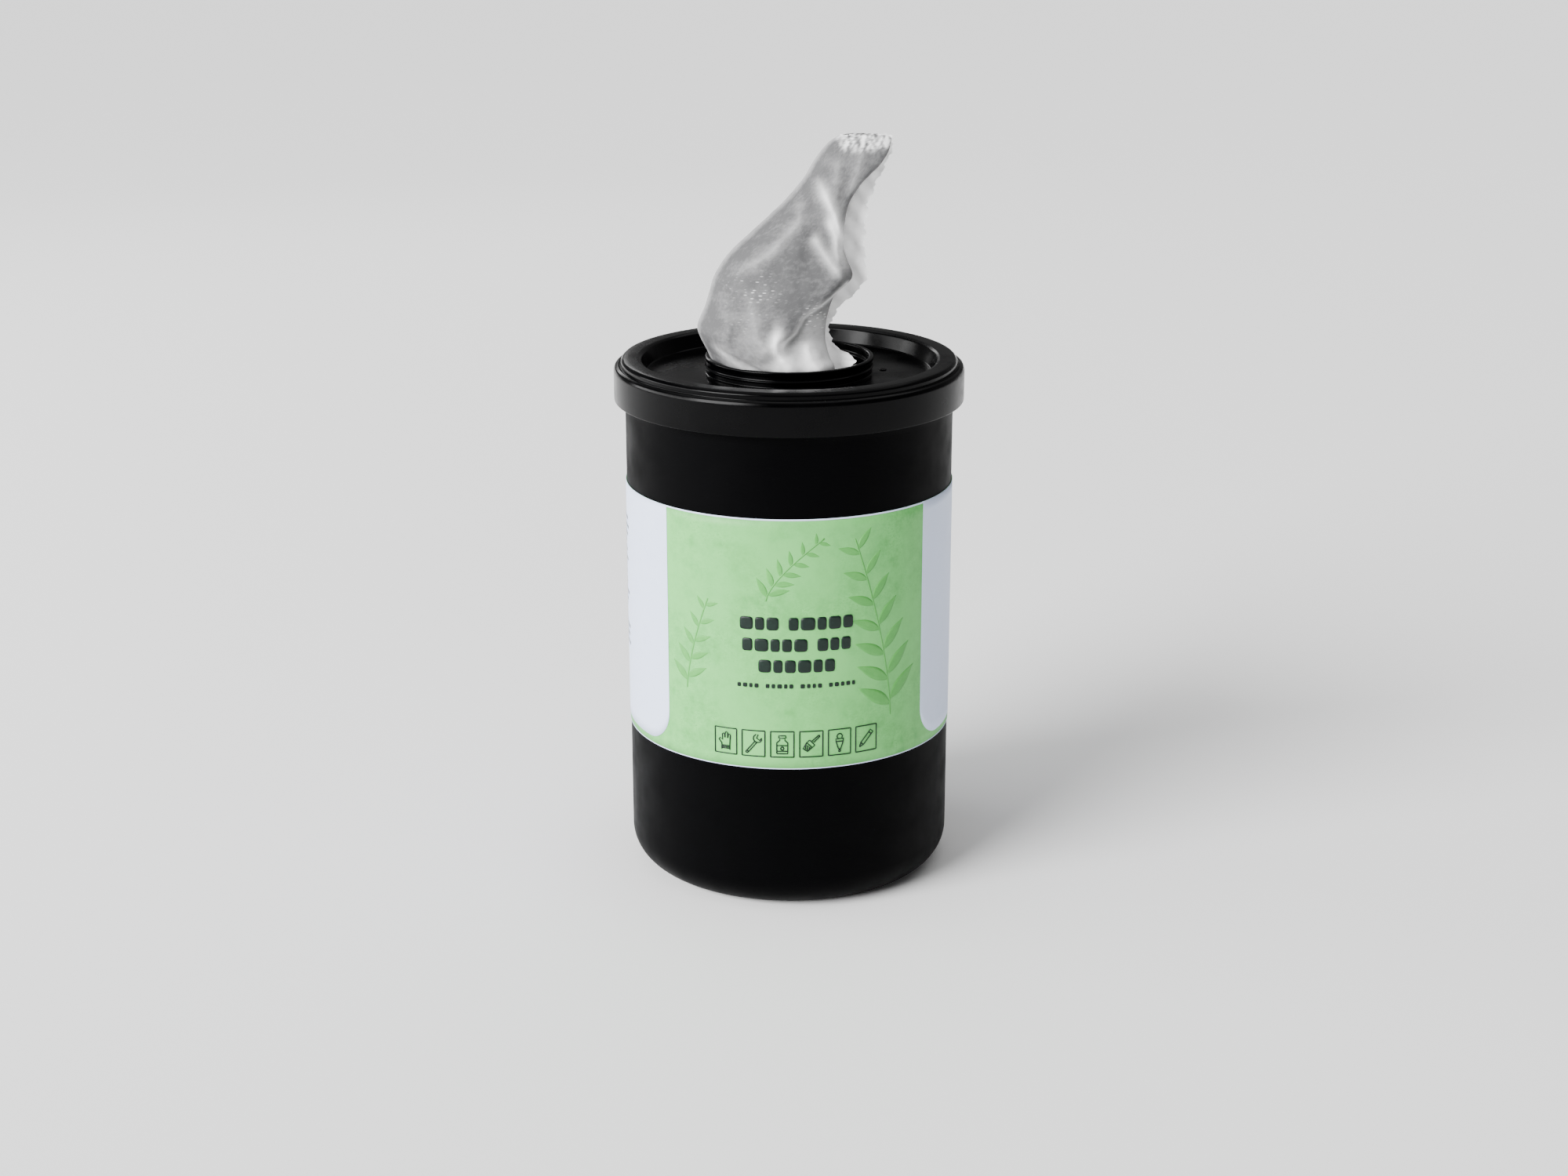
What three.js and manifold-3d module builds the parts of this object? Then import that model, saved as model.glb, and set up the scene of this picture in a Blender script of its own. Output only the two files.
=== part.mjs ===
// A canister of wet wipes: a black tub with a printed label round it, a lift-off lid with a
// collar in its middle, the roll of wipes inside, and the first wipe drawn up through the collar.
// Millimetres, +Z up. The origin is on the axis, in the plane that the tub stands on, and the
// front of the label faces -Y.

import * as THREE from 'three';
import { mergeVertices } from 'three/addons/utils/BufferGeometryUtils.js';
import Module from 'manifold-3d';

const wasm = await Module();
wasm.setup();

// Gap between pieces that sit in or on each other
const CLEARANCE = 0.3;
// Flat facets round every turned piece
const FACETS = 48;

// Wipes and their roll
const WIPE_WIDTH = 172.5;
const WIPE_LENGTH = 300;
const CORE_RADIUS = 20;
const ROLL_TURNS = 11; // each drawn turn stands for about ten of the real ones
const TURN_GAP = 0.4;
const FACETS_PER_TURN = 32;

// Tub
const TUB_RADIUS = 58;
const TUB_WALL = 1.2;
const BASE_CORNER = 12.6;
const FOOT_WIDTH = 6;
const PUSH_UP = 1.5;
const PUSH_UP_SLOPE = 3;
const BEAD_DEPTH = 2.1;
const BEAD_HEIGHT = 4;
const BEAD_DROP = 4;
const CORNER_STEPS = 7;

// Lid
const LID_WALL = 1.5;
const SKIRT_DEPTH = 14.6;
const SHOULDER_STEP = 2.6;
const SHOULDER_ROUND = 1.3;
const RING_HEIGHT = 2.4;
const RING_WIDTH = 7.2;
const RING_ROUND = 0.6;
const PLUG_DEPTH = 3;
const PLUG_WALL = 1.2;
const WELL_DEPTH = 5.5;
const WELL_DRAFT = 1.6;

// Collar, a cup that is open at the top, with the dispensing orifice in its floor
const COLLAR_RADIUS = 29.8;
const COLLAR_WALL = 1.8;
const COLLAR_DEPTH = 10.5;
const COLLAR_RISE = 0.3;
const COLLAR_RIB = 0.7;
const COLLAR_NECKING = 0.6;
const LIP_HEIGHT = 1.2;
const BEAD_LINE = 0.5;
const BEAD_LINE_DROP = 3.6;
const MEMBRANE = 1.2;
const HEADROOM = 1.1;
const ORIFICE_RADIUS = 6;
const SLITS = 6;
const SLIT_WIDTH = 1.2;
const SLIT_REACH = 12;

// Label and what is printed on it
const LABEL_HEIGHT = 90;
const LABEL_RISE = 6.4; // how far the label's middle is above the middle of the bare wall
const FILM = 0.15;
const LAYER_GAP = 0.1;
const PANEL_EDGES = [-46.2, 52.5]; // azimuths in degrees where the green field ends
const PANEL_BACK_EDGE = 160;
const PANEL_CORNER = 12;
const PANEL_LIFT = 2.4;
const PRINT_MIDDLE = 2.6; // azimuth in degrees of the middle of the print
const TEXT_BARS = [ // width, height, and height of the middle above the label's foot
  [38.8, 5.4, 53.0],
  [37.2, 5.4, 45.3],
  [29.3, 5.1, 37.7],
  [40.3, 2.2, 30.5],
];
const PICTOGRAM_SIZE = [8.1, 9.4];
const PICTOGRAM_LINE = 0.5;
const PICTOGRAM_PITCH = 9.9; // azimuth in degrees from one to the next
const PICTOGRAM_HEIGHT = 9.2; // of the middle above the label's foot
const SPRIG_AZIMUTH = 30;
const SPRIG_FOOT = 16; // above the label's foot
const SPRIG_HEIGHT = 66;
const SPRIG_LEAN = 15;
const LEAF_PAIRS = 5;
const LEAF_LENGTH = 16;
const LEAF_WIDTH = 6;
const LEAF_RISE = 43; // degrees above level
const LEAF_SHRINK = 0.45; // how much less the top leaves have
const STEM_WIDTH = 0.9;

// First wipe, row by row: a height, the left, right, front and back reach as shares of the
// collar's inner radius, and how deep its pleats are. Inside the collar the height is a share of
// the collar's depth, counted down from the lip, and above the lip it is in millimetres
const WIPE_ROWS_IN_COLLAR = [
  [0.82, -0.24, 0.24, -0.24, 0.24, 0.3],
  [0.57, -0.52, 0.45, -0.5, 0.45, 0.28],
  [0.19, -0.88, 0.62, -0.86, 0.6, 0.24],
];
const WIPE_ROWS_ABOVE = [
  [3, -1.01, 0.55, -0.91, 0.64, 0.2],
  [10, -1.13, 0.49, -0.84, 0.66, 0.18],
  [18, -1.04, 0.6, -0.74, 0.64, 0.17],
  [22.5, -0.99, 0.77, -0.67, 0.63, 0.16],
  [27.5, -0.94, 0.945, -0.61, 0.6, 0.15],
  [36, -0.74, 0.93, -0.52, 0.54, 0.15],
  [44.7, -0.415, 0.93, -0.43, 0.45, 0.16],
  [53.5, -0.08, 0.97, -0.34, 0.36, 0.16],
  [62, 0.18, 1.09, -0.25, 0.27, 0.15],
  [70.5, 0.365, 1.24, -0.165, 0.17, 0.14],
  [74.6, 0.495, 1.28, -0.115, 0.12, 0.12],
  [77.2, 0.62, 1.185, -0.085, 0.09, 0.1],
];
const WIPE_STEP = 3.1;
const WIPE_FACETS = 48;
const WIPE_PLEATS = 12;
const FRONT_CALM = 0.7; // how much shallower the pleats are in front
// Ridges across the front of the wipe, as points of x and height above the lip
const WIPE_FOLDS = [
  [[3.9, 58.9], [3.6, 49.1], [-5.8, 38.7], [-19, 31.2]],
  [[11.8, 59.9], [17.7, 45.6], [20.6, 31.2]],
  [[8.8, 43.7], [12.3, 38.1], [18.7, 29.7]],
  [[14.7, 23.3], [5, 17.2], [-2.3, 8.5]],
];
const FOLD_HEIGHT = 1.7;
const FOLD_WIDTH = 2.4;

// Its tail, which winds down the roll's core
const NECK_PLEAT = 0.3;
const TAIL_RADIUS = 8;
const TAIL_SWING = 7;
const TAIL_LEAD = 36; // drop in one turn
const TAIL_START = 14; // drop over which the tail opens out from the orifice
const TAIL_STEP = 7;
const TAIL_TWIST = 2.4; // turns of the pleats for each turn of the tail

// Heights that follow from those sizes, from the base up
const floorTop = PUSH_UP + TUB_WALL;
const rollFoot = floorTop + CLEARANCE;
const membraneFoot = rollFoot + WIPE_WIDTH + HEADROOM;
const membraneTop = membraneFoot + MEMBRANE;
const lipTop = membraneTop + COLLAR_DEPTH;
const ringTop = lipTop - COLLAR_RISE;
const tubTop = ringTop - LID_WALL - CLEARANCE;
const beadTop = tubTop - BEAD_DROP;
const skirtFoot = ringTop - SKIRT_DEPTH;
const labelFoot = (BASE_CORNER + skirtFoot) / 2 + LABEL_RISE - LABEL_HEIGHT / 2;

// Radii that follow from those sizes
const footOuter = TUB_RADIUS - BASE_CORNER;
const tubInner = TUB_RADIUS - TUB_WALL;
const beadOuter = TUB_RADIUS + BEAD_DEPTH;
const skirtInner = beadOuter + CLEARANCE;
const skirtOuter = skirtInner + LID_WALL;
const ringOuter = skirtOuter - SHOULDER_STEP;
const rimInner = ringOuter - RING_WIDTH;
const neckRadius = ORIFICE_RADIUS - CLEARANCE;
const rollRadius = tubCornerRadiusAt(rollFoot) - CLEARANCE;
const lipInner = COLLAR_RADIUS - COLLAR_WALL;

// Radius of the inside of the tub's rounded base corner at height z
function tubCornerRadiusAt(z) {
  const corner = BASE_CORNER - TUB_WALL;
  const below = Math.max(BASE_CORNER - z, 0);
  return footOuter + Math.sqrt(corner ** 2 - below ** 2);
}

// Points of an arc in the profile plane, with angles in degrees
function arc(centreRadius, centreZ, radius, from, to, steps) {
  const points = [];
  for (let step = 0; step <= steps; step++) {
    const angle = THREE.MathUtils.degToRad(from + ((to - from) * step) / steps);
    points.push([centreRadius + radius * Math.cos(angle), centreZ + radius * Math.sin(angle)]);
  }
  return points;
}

// A turned solid about Z from a profile of [radius, z], first facet corner at the front
function turned(profile) {
  const points = profile.map(([radius, z]) => new THREE.Vector2(radius, z));
  return new THREE.LatheGeometry(points, FACETS).rotateX(Math.PI / 2);
}

// A ring of rectangular section
function ring(inner, outer, low, high) {
  return turned([[inner, low], [outer, low], [outer, high], [inner, high], [inner, low]]);
}

// A closed solid through rings of [x, y, z] points that all hold as many points
function loft(rings) {
  const around = rings[0].length;
  const points = rings.flat();
  const index = [];
  for (let level = 0; level < rings.length - 1; level++) {
    for (let i = 0; i < around; i++) {
      const a = level * around + i;
      const b = level * around + ((i + 1) % around);
      index.push(a, b, b + around, a, b + around, a + around);
    }
  }
  for (const level of [0, rings.length - 1]) {
    const middle = points.length;
    points.push(middleOf(rings[level]));
    for (let i = 0; i < around; i++) {
      const a = level * around + i;
      const b = level * around + ((i + 1) % around);
      index.push(...(level === 0 ? [middle, b, a] : [middle, a, b]));
    }
  }
  const geometry = new THREE.BufferGeometry();
  geometry.setAttribute('position', new THREE.Float32BufferAttribute(points.flat(), 3));
  geometry.setIndex(index);
  geometry.computeVertexNormals();
  return geometry;
}

function middleOf(points) {
  return [0, 1, 2].map((k) => points.reduce((sum, point) => sum + point[k], 0) / points.length);
}

// The library's solid for a closed geometry, and the geometry of such a solid
function asSolid(geometry) {
  const bare = geometry.clone();
  bare.deleteAttribute('normal');
  bare.deleteAttribute('uv');
  const merged = mergeVertices(bare);
  return new wasm.Manifold(new wasm.Mesh({
    numProp: 3,
    vertProperties: new Float32Array(merged.attributes.position.array),
    triVerts: new Uint32Array(merged.index.array),
  }));
}

function asGeometry(solid) {
  const mesh = solid.getMesh();
  const geometry = new THREE.BufferGeometry();
  geometry.setAttribute('position', new THREE.BufferAttribute(mesh.vertProperties, 3));
  geometry.setIndex(new THREE.BufferAttribute(mesh.triVerts, 1));
  geometry.computeVertexNormals();
  return geometry;
}

// The tub is blow-moulded: one wall, with a rounded base corner, a foot ring round a base panel
// that is pushed up clear of the table, and a bead under the rim that the lid's skirt grips
function tubGeometry() {
  const footInner = footOuter - FOOT_WIDTH;
  const beadFoot = beadTop - BEAD_HEIGHT;
  return turned([
    [0, PUSH_UP],
    [footInner - PUSH_UP_SLOPE, PUSH_UP],
    [footInner, 0],
    ...arc(footOuter, BASE_CORNER, BASE_CORNER, -90, 0, CORNER_STEPS),
    [TUB_RADIUS, beadFoot - BEAD_DEPTH],
    [beadOuter, beadFoot],
    [beadOuter, beadTop - BEAD_DEPTH / 2],
    [TUB_RADIUS, beadTop],
    [TUB_RADIUS, tubTop],
    [tubInner, tubTop],
    ...arc(footOuter, BASE_CORNER, BASE_CORNER - TUB_WALL, 0, -90, CORNER_STEPS),
    [footInner, TUB_WALL],
    [footInner - PUSH_UP_SLOPE, floorTop],
    [0, floorTop],
  ]);
}

// Outside of the lid, from the skirt's foot up over the shoulder and the raised ring, down the
// well's wall, along its floor and up the collar to the lip
function lidTopProfile() {
  const shoulderTop = ringTop - RING_HEIGHT;
  const wellFloor = ringTop - WELL_DEPTH;
  const wellRadius = rimInner - WELL_DRAFT;
  const necked = COLLAR_RADIUS - COLLAR_NECKING;
  const lipRound = COLLAR_WALL / 2;
  return [
    [skirtInner, skirtFoot],
    [skirtOuter - RING_ROUND, skirtFoot],
    [skirtOuter, skirtFoot + RING_ROUND],
    ...arc(skirtOuter - SHOULDER_ROUND, shoulderTop - SHOULDER_ROUND, SHOULDER_ROUND, 0, 90, 4),
    [ringOuter, shoulderTop - RING_ROUND / 2],
    ...arc(ringOuter - RING_ROUND, ringTop - RING_ROUND, RING_ROUND, 0, 90, 3),
    [rimInner + RING_ROUND, ringTop],
    [rimInner, ringTop - RING_ROUND],
    [wellRadius, wellFloor + RING_ROUND],
    [wellRadius - RING_ROUND, wellFloor],
    [necked + RING_ROUND, wellFloor],
    [necked, wellFloor + RING_ROUND],
    [necked, lipTop - BEAD_LINE_DROP - BEAD_LINE],
    [necked + BEAD_LINE, lipTop - BEAD_LINE_DROP],
    [necked, lipTop - BEAD_LINE_DROP + BEAD_LINE],
    [necked, lipTop - LIP_HEIGHT - COLLAR_NECKING],
    [COLLAR_RADIUS, lipTop - LIP_HEIGHT],
    ...arc(COLLAR_RADIUS - lipRound, lipTop - lipRound, lipRound, 0, 180, 6),
  ];
}

// Inside of the collar, with two ribs, down to the orifice, then the whole underside, with the
// plug ring that goes inside the tub's rim and the channel that the rim stands in
function lidUnderProfile() {
  const ribInner = lipInner - COLLAR_RIB;
  const cupInner = ribInner - COLLAR_RIB;
  const cupOuter = cupInner + COLLAR_WALL;
  const under = ringTop - LID_WALL;
  const plugOuter = tubInner - CLEARANCE;
  const plugInner = plugOuter - PLUG_WALL;
  const wellUnder = ringTop - WELL_DEPTH - LID_WALL;
  const wallShift = LID_WALL - WELL_DRAFT;
  const channelOuter = TUB_RADIUS + CLEARANCE;
  const channelSlope = skirtInner - channelOuter;
  const ribFoot = lipTop - COLLAR_DEPTH / 3;
  const cupTop = lipTop - (2 * COLLAR_DEPTH) / 3;
  return [
    [lipInner, ribFoot + COLLAR_RIB],
    [ribInner, ribFoot],
    [ribInner, cupTop + COLLAR_RIB],
    [cupInner, cupTop],
    [cupInner, membraneTop + RING_ROUND],
    [cupInner - RING_ROUND, membraneTop],
    [ORIFICE_RADIUS, membraneTop],
    [ORIFICE_RADIUS, membraneFoot],
    [cupOuter - RING_ROUND, membraneFoot],
    [cupOuter, membraneFoot + RING_ROUND],
    [cupOuter, wellUnder],
    [rimInner + wallShift, wellUnder],
    [rimInner + LID_WALL, under],
    [plugInner, under],
    [plugInner, under - PLUG_DEPTH],
    [plugOuter, under - PLUG_DEPTH],
    [plugOuter, under],
    [channelOuter, under],
    [channelOuter, beadTop + CLEARANCE + channelSlope],
    [skirtInner, beadTop + CLEARANCE],
    [skirtInner, skirtFoot],
  ];
}

// The lid is one moulding. Slits round the orifice leave tongues that grip the wipe
function lidGeometry() {
  let lid = asSolid(turned([...lidTopProfile(), ...lidUnderProfile()]));
  for (let i = 0; i < SLITS; i++) {
    const slit = new THREE.BoxGeometry(SLIT_REACH, SLIT_WIDTH, 2 * MEMBRANE);
    slit.translate(SLIT_REACH / 2, 0, (membraneFoot + membraneTop) / 2);
    slit.rotateZ((2 * Math.PI * (i + 0.5)) / SLITS);
    lid = lid.subtract(asSolid(slit));
  }
  return asGeometry(lid);
}

// The roll is one long web wound on itself, drawn as a spiral band
function rollGeometry() {
  const pitch = (rollRadius - CORE_RADIUS + TURN_GAP) / (ROLL_TURNS + 1);
  const steps = ROLL_TURNS * FACETS_PER_TURN;
  const side = (offset) => {
    const points = [];
    for (let step = 0; step <= steps; step++) {
      const turn = step / FACETS_PER_TURN;
      const angle = 2 * Math.PI * turn;
      const radius = CORE_RADIUS + pitch * turn + offset;
      points.push(new THREE.Vector2(radius * Math.cos(angle), radius * Math.sin(angle)));
    }
    return points;
  };
  const outline = new THREE.Shape([...side(pitch - TURN_GAP), ...side(0).reverse()]);
  const options = { depth: WIPE_WIDTH, bevelEnabled: false };
  return new THREE.ExtrudeGeometry(outline, options).translate(0, 0, rollFoot);
}

// Radius of the inside of a layer on the tub: 0 is the label, 1 and 2 are what lies on it
function layerInner(layer) {
  return TUB_RADIUS + LAYER_GAP + layer * (FILM + LAYER_GAP);
}

function layerRing(layer) {
  const inner = layerInner(layer);
  return ring(inner, inner + FILM, labelFoot, labelFoot + LABEL_HEIGHT);
}

// A white panel beside the green field, whose lower corners are round
function panelGeometry(from, to) {
  const radius = layerInner(1);
  const cornerTurn = THREE.MathUtils.radToDeg(PANEL_CORNER / radius);
  const facet = 360 / FACETS;
  const azimuths = new Set([from, to]);
  for (let k = Math.ceil(from / facet); k * facet < to; k++) azimuths.add(k * facet);
  for (const share of [0.05, 0.2, 0.45, 0.7, 1]) {
    azimuths.add(from + share * cornerTurn);
    azimuths.add(to - share * cornerTurn);
  }
  const rings = [...azimuths].sort((a, b) => a - b).map((azimuth) => {
    const toEnd = (Math.min(azimuth - from, to - azimuth) / cornerTurn) * PANEL_CORNER;
    const inCorner = Math.max(PANEL_CORNER - toEnd, 0);
    const drop = PANEL_CORNER - Math.sqrt(PANEL_CORNER ** 2 - inCorner ** 2);
    const low = labelFoot + PANEL_LIFT + drop;
    const high = labelFoot + LABEL_HEIGHT;
    const angle = THREE.MathUtils.degToRad(azimuth);
    const at = (r, z) => [r * Math.sin(angle), -r * Math.cos(angle), z];
    return [at(radius, low), at(radius, high), at(radius + FILM, high), at(radius + FILM, low)];
  });
  return loft(rings);
}

// Flat shapes, x across and y up, printed at an azimuth and height on a layer of the label
function printed(shapes, azimuth, height, layer) {
  const reach = layerInner(layer);
  const placed = shapes.map((shape) => {
    const block = new THREE.ExtrudeGeometry(shape, { depth: reach / 2, bevelEnabled: false });
    block.rotateX(Math.PI / 2).translate(0, -reach * 0.75, labelFoot + height);
    return asSolid(block.rotateZ(THREE.MathUtils.degToRad(azimuth)));
  });
  const joined = placed.reduce((sum, solid) => sum.add(solid));
  return asGeometry(joined.intersect(asSolid(layerRing(layer))));
}

function box(width, height, x = 0, y = 0) {
  const [w, h] = [width / 2, height / 2];
  return new THREE.Shape([[x - w, y - h], [x + w, y - h], [x + w, y + h], [x - w, y + h]]
    .map(([px, py]) => new THREE.Vector2(px, py)));
}

function polygon(...points) {
  return new THREE.Shape(points.map(([x, y]) => new THREE.Vector2(x, y)));
}

function disc(radius, x, y) {
  const shape = new THREE.Shape();
  shape.absarc(x, y, radius, 0, 2 * Math.PI);
  return new THREE.Shape(shape.getPoints(3).slice(0, -1));
}

// A square frame, which each pictogram's motif touches
function frame() {
  const [width, height] = PICTOGRAM_SIZE;
  const outline = box(width, height);
  outline.holes.push(box(width - 2 * PICTOGRAM_LINE, height - 2 * PICTOGRAM_LINE));
  return outline;
}

// Motifs of the pictograms, in the order in which they stand: a glove, a spanner, a bottle, a
// brush, a dropper and a pen
function motifs() {
  const half = PICTOGRAM_SIZE[1] / 2;
  return {
    glove: [box(2.6, 3.4, 0.2, 1.7 - half), box(0.6, 2.4, -0.7, 4.4 - half),
      box(0.6, 2.9, 0.2, 4.6 - half), box(0.6, 2.4, 1.1, 4.4 - half),
      polygon([-1, 2 - half], [-1, 3 - half], [-2.2, 4 - half], [-2.5, 3.4 - half])],
    spanner: [polygon([-2.4, -half], [-1.2, -half], [1.7, 1.4], [0.9, 1.9]), disc(1.4, 1.6, 2)],
    bottle: [box(3.6, 4.4, 0, 2.2 - half), box(1.3, 2, 0, 5.2 - half), box(2, 0.9, 0, 6.5 - half)],
    brush: [polygon([-0.5, 0], [0.5, 0], [2.4, half], [1.4, half]),
      polygon([-2.4, -0.9], [1.2, -0.9], [1, 0.4], [-1.2, 0.4]), box(2.6, 1.6, -0.8, -1.5)],
    dropper: [polygon([-0.4, -half], [0.4, -half], [1.3, 0.2], [-1.3, 0.2]), disc(1.5, 0, 0.9)],
    pen: [polygon([-2.7, -half], [-1.7, 1 - half], [2.3, 2.6], [1.4, 3.2], [-2.9, 1 - half])],
  };
}

// A plain sprig of leaves, stem first
function sprig() {
  const along = (share) => [SPRIG_LEAN * (0.5 - share ** 1.5), SPRIG_HEIGHT * share];
  const count = 6;
  const left = [];
  const right = [];
  for (let i = 0; i <= count; i++) {
    const [x, y] = along(i / count);
    const half = (STEM_WIDTH / 2) * (1 - i / count / 2);
    left.push([x - half, y]);
    right.push([x + half, y]);
  }
  const shapes = [polygon(...right, ...left.reverse())];
  for (let pair = 0; pair < LEAF_PAIRS; pair++) {
    const share = (pair + 0.5) / LEAF_PAIRS;
    const size = 1 - LEAF_SHRINK * share;
    for (const side of [-1, 1]) {
      const [x, y] = along(share + (0.1 * side) / LEAF_PAIRS);
      shapes.push(leaf(x, y, side, LEAF_LENGTH * size, LEAF_WIDTH * size));
    }
  }
  return shapes;
}

// One leaf that leaves the stem at (x, y), up and to the side
function leaf(x, y, side, length, width) {
  const rise = THREE.MathUtils.degToRad(LEAF_RISE);
  const count = 5;
  const upper = [];
  const lower = [];
  for (let i = 0; i <= count; i++) {
    const share = i / count;
    const half = (width / 2) * Math.sin(Math.PI * share ** 0.8);
    const px = x + side * length * share * Math.cos(rise);
    const py = y + length * share * Math.sin(rise);
    upper.push([px - side * half * Math.sin(rise), py + half * Math.cos(rise)]);
    lower.push([px + side * half * Math.sin(rise), py - half * Math.cos(rise)]);
  }
  const points = [...lower, ...upper.slice(1, -1).reverse()];
  return polygon(...(side > 0 ? points : points.reverse()));
}

// How far the wipe's front stands proud at x and a height above the lip
function foldRelief(x, height) {
  let relief = 0;
  const here = new THREE.Vector3(x, height, 0);
  for (const fold of WIPE_FOLDS) {
    const corners = fold.map(([px, py]) => new THREE.Vector3(px, py, 0));
    let nearest = Infinity;
    for (let i = 0; i < corners.length - 1; i++) {
      const segment = new THREE.Line3(corners[i], corners[i + 1]);
      const closest = segment.closestPointToPoint(here, true, new THREE.Vector3());
      nearest = Math.min(nearest, closest.distanceTo(here));
    }
    relief += FOLD_HEIGHT * Math.exp(-((nearest / FOLD_WIDTH) ** 2));
  }
  return relief;
}

// A pleated ring round a middle, with half sizes across and deep, and its pleats turned by twist
function pleatedRing({ x, y, z, across, deep, pleat, twist = 0, calm = 0, relief = () => 0 }) {
  const points = [];
  for (let i = 0; i < WIPE_FACETS; i++) {
    const angle = (2 * Math.PI * i) / WIPE_FACETS;
    const front = Math.max(-Math.sin(angle), 0);
    const wave = 0.5 - 0.5 * Math.cos(WIPE_PLEATS * (angle - twist));
    const reach = 1 - pleat * wave * (1 - calm * front);
    const px = x + across * Math.cos(angle) * reach;
    points.push([px, y + deep * Math.sin(angle) * reach - front * relief(px), z]);
  }
  return points;
}

// Rings of the wipe above the orifice, from the neck up to its cut edge
function wipeBodyRings() {
  const inCollar = WIPE_ROWS_IN_COLLAR.map(([share, ...rest]) => [-share * COLLAR_DEPTH, ...rest]);
  const rows = [...inCollar, ...WIPE_ROWS_ABOVE];
  const heights = rows.map((row) => row[0]);
  const values = rows.flatMap((row) => row.slice(1));
  const between = new THREE.CubicInterpolant(
    new Float32Array(heights), new Float32Array(values), 5, new Float32Array(5));
  const first = heights[0];
  const last = heights[heights.length - 1];
  const steps = Math.round((last - first) / WIPE_STEP);
  const rings = [];
  for (let step = 0; step <= steps; step++) {
    const height = first + ((last - first) * step) / steps;
    const [left, right, front, back, pleat] = between.evaluate(height);
    const half = lipInner / 2;
    rings.push(pleatedRing({
      x: half * (left + right), y: half * (front + back), z: lipTop + height,
      across: half * (right - left), deep: half * (back - front), pleat,
      calm: height > 0 ? FRONT_CALM : 0,
      relief: (px) => foldRelief(px, height),
    }));
  }
  return rings;
}

// Rings of the tail, from its foot up to the neck in the orifice. Each turn of it is one turn of
// a helix, and what the stretch above doesn't use of the wipe's length is wound up here
function wipeTailRings(lengthAbove) {
  const lengthPerTurn = Math.hypot(TAIL_LEAD, 2 * Math.PI * TAIL_SWING);
  const drop = ((WIPE_LENGTH - lengthAbove) * TAIL_LEAD) / lengthPerTurn;
  const steps = Math.round(drop / TAIL_STEP);
  const rings = [];
  for (let step = steps; step > 0; step--) {
    const below = (drop * step) / steps;
    const turn = (2 * Math.PI * below) / TAIL_LEAD;
    const open = THREE.MathUtils.smoothstep(below, 0, TAIL_START);
    const radius = THREE.MathUtils.lerp(neckRadius, TAIL_RADIUS, open);
    rings.push(pleatedRing({
      x: TAIL_SWING * open * Math.sin(turn), y: TAIL_SWING * open * Math.cos(turn),
      z: membraneFoot - below, across: radius, deep: radius, pleat: NECK_PLEAT,
      twist: (TAIL_TWIST * turn) / WIPE_PLEATS,
    }));
  }
  for (const z of [membraneFoot, membraneTop]) {
    const size = { across: neckRadius, deep: neckRadius };
    rings.push(pleatedRing({ x: 0, y: 0, z, ...size, pleat: NECK_PLEAT }));
  }
  return rings;
}

// Length of the line through the rings' middles
function lengthThrough(rings) {
  const middles = rings.map((points) => new THREE.Vector3(...middleOf(points)));
  return middles.slice(1).reduce((sum, point, i) => sum + point.distanceTo(middles[i]), 0);
}

// The first wipe: gathered in the orifice, spread and folded above it, its tail in the core
function wipeGeometry() {
  const body = wipeBodyRings();
  const above = lengthThrough(body) + (body[0][0][2] - membraneFoot);
  return loft([...wipeTailRings(above), ...body]);
}

const MATERIALS = {
  blackTub: { color: 0x0b0b0e, roughness: 0.42, metalness: 0 },
  blackLid: { color: 0x09090b, roughness: 0.24, metalness: 0 },
  labelGreen: { color: 0xa9d8a0, roughness: 0.45, metalness: 0 },
  labelWhite: { color: 0xe2e7f4, roughness: 0.45, metalness: 0 },
  sprigGreen: { color: 0x97c98f, roughness: 0.45, metalness: 0 },
  printDark: { color: 0x1f3f3a, roughness: 0.45, metalness: 0 },
  cloth: { color: 0xe9e9ea, roughness: 0.9, metalness: 0 },
};

const canister = new THREE.Group();

function put(name, geometry, finish) {
  const mesh = new THREE.Mesh(geometry, new THREE.MeshStandardMaterial(MATERIALS[finish]));
  mesh.name = name;
  canister.add(mesh);
}

put('tub', tubGeometry(), 'blackTub');
put('lid', lidGeometry(), 'blackLid');
put('wipe_roll', rollGeometry(), 'cloth');
put('pulled_wipe', wipeGeometry(), 'cloth');
put('label', layerRing(0), 'labelGreen');
put('label_panel_left', panelGeometry(-PANEL_BACK_EDGE, PANEL_EDGES[0]), 'labelWhite');
put('label_panel_right', panelGeometry(PANEL_EDGES[1], PANEL_BACK_EDGE), 'labelWhite');
put('label_sprig', printed(sprig(), SPRIG_AZIMUTH, SPRIG_FOOT, 1), 'sprigGreen');
TEXT_BARS.forEach(([width, height, middle], i) => {
  put(`label_bar_${i + 1}`, printed([box(width, height)], PRINT_MIDDLE, middle, 2), 'printDark');
});
Object.entries(motifs()).forEach(([name, motif], i, all) => {
  const azimuth = PRINT_MIDDLE + PICTOGRAM_PITCH * (i - (all.length - 1) / 2);
  const shapes = [frame(), ...motif];
  put(`pictogram_${name}`, printed(shapes, azimuth, PICTOGRAM_HEIGHT, 2), 'printDark');
});

export default canister;
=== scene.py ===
# %% [markdown]
# A canister of wet wipes
#
# We dress a fixed frame: the tub, its lid, the roll inside and the first wipe already have their
# real sizes, so every surface here takes its place from that frame. The tub, lid and label are
# turned surfaces, worked out as grids with numpy. The wipe is a sheet of cloth, gathered in the
# lid's orifice and folded above it.

# %% Load the frame
import math

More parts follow.
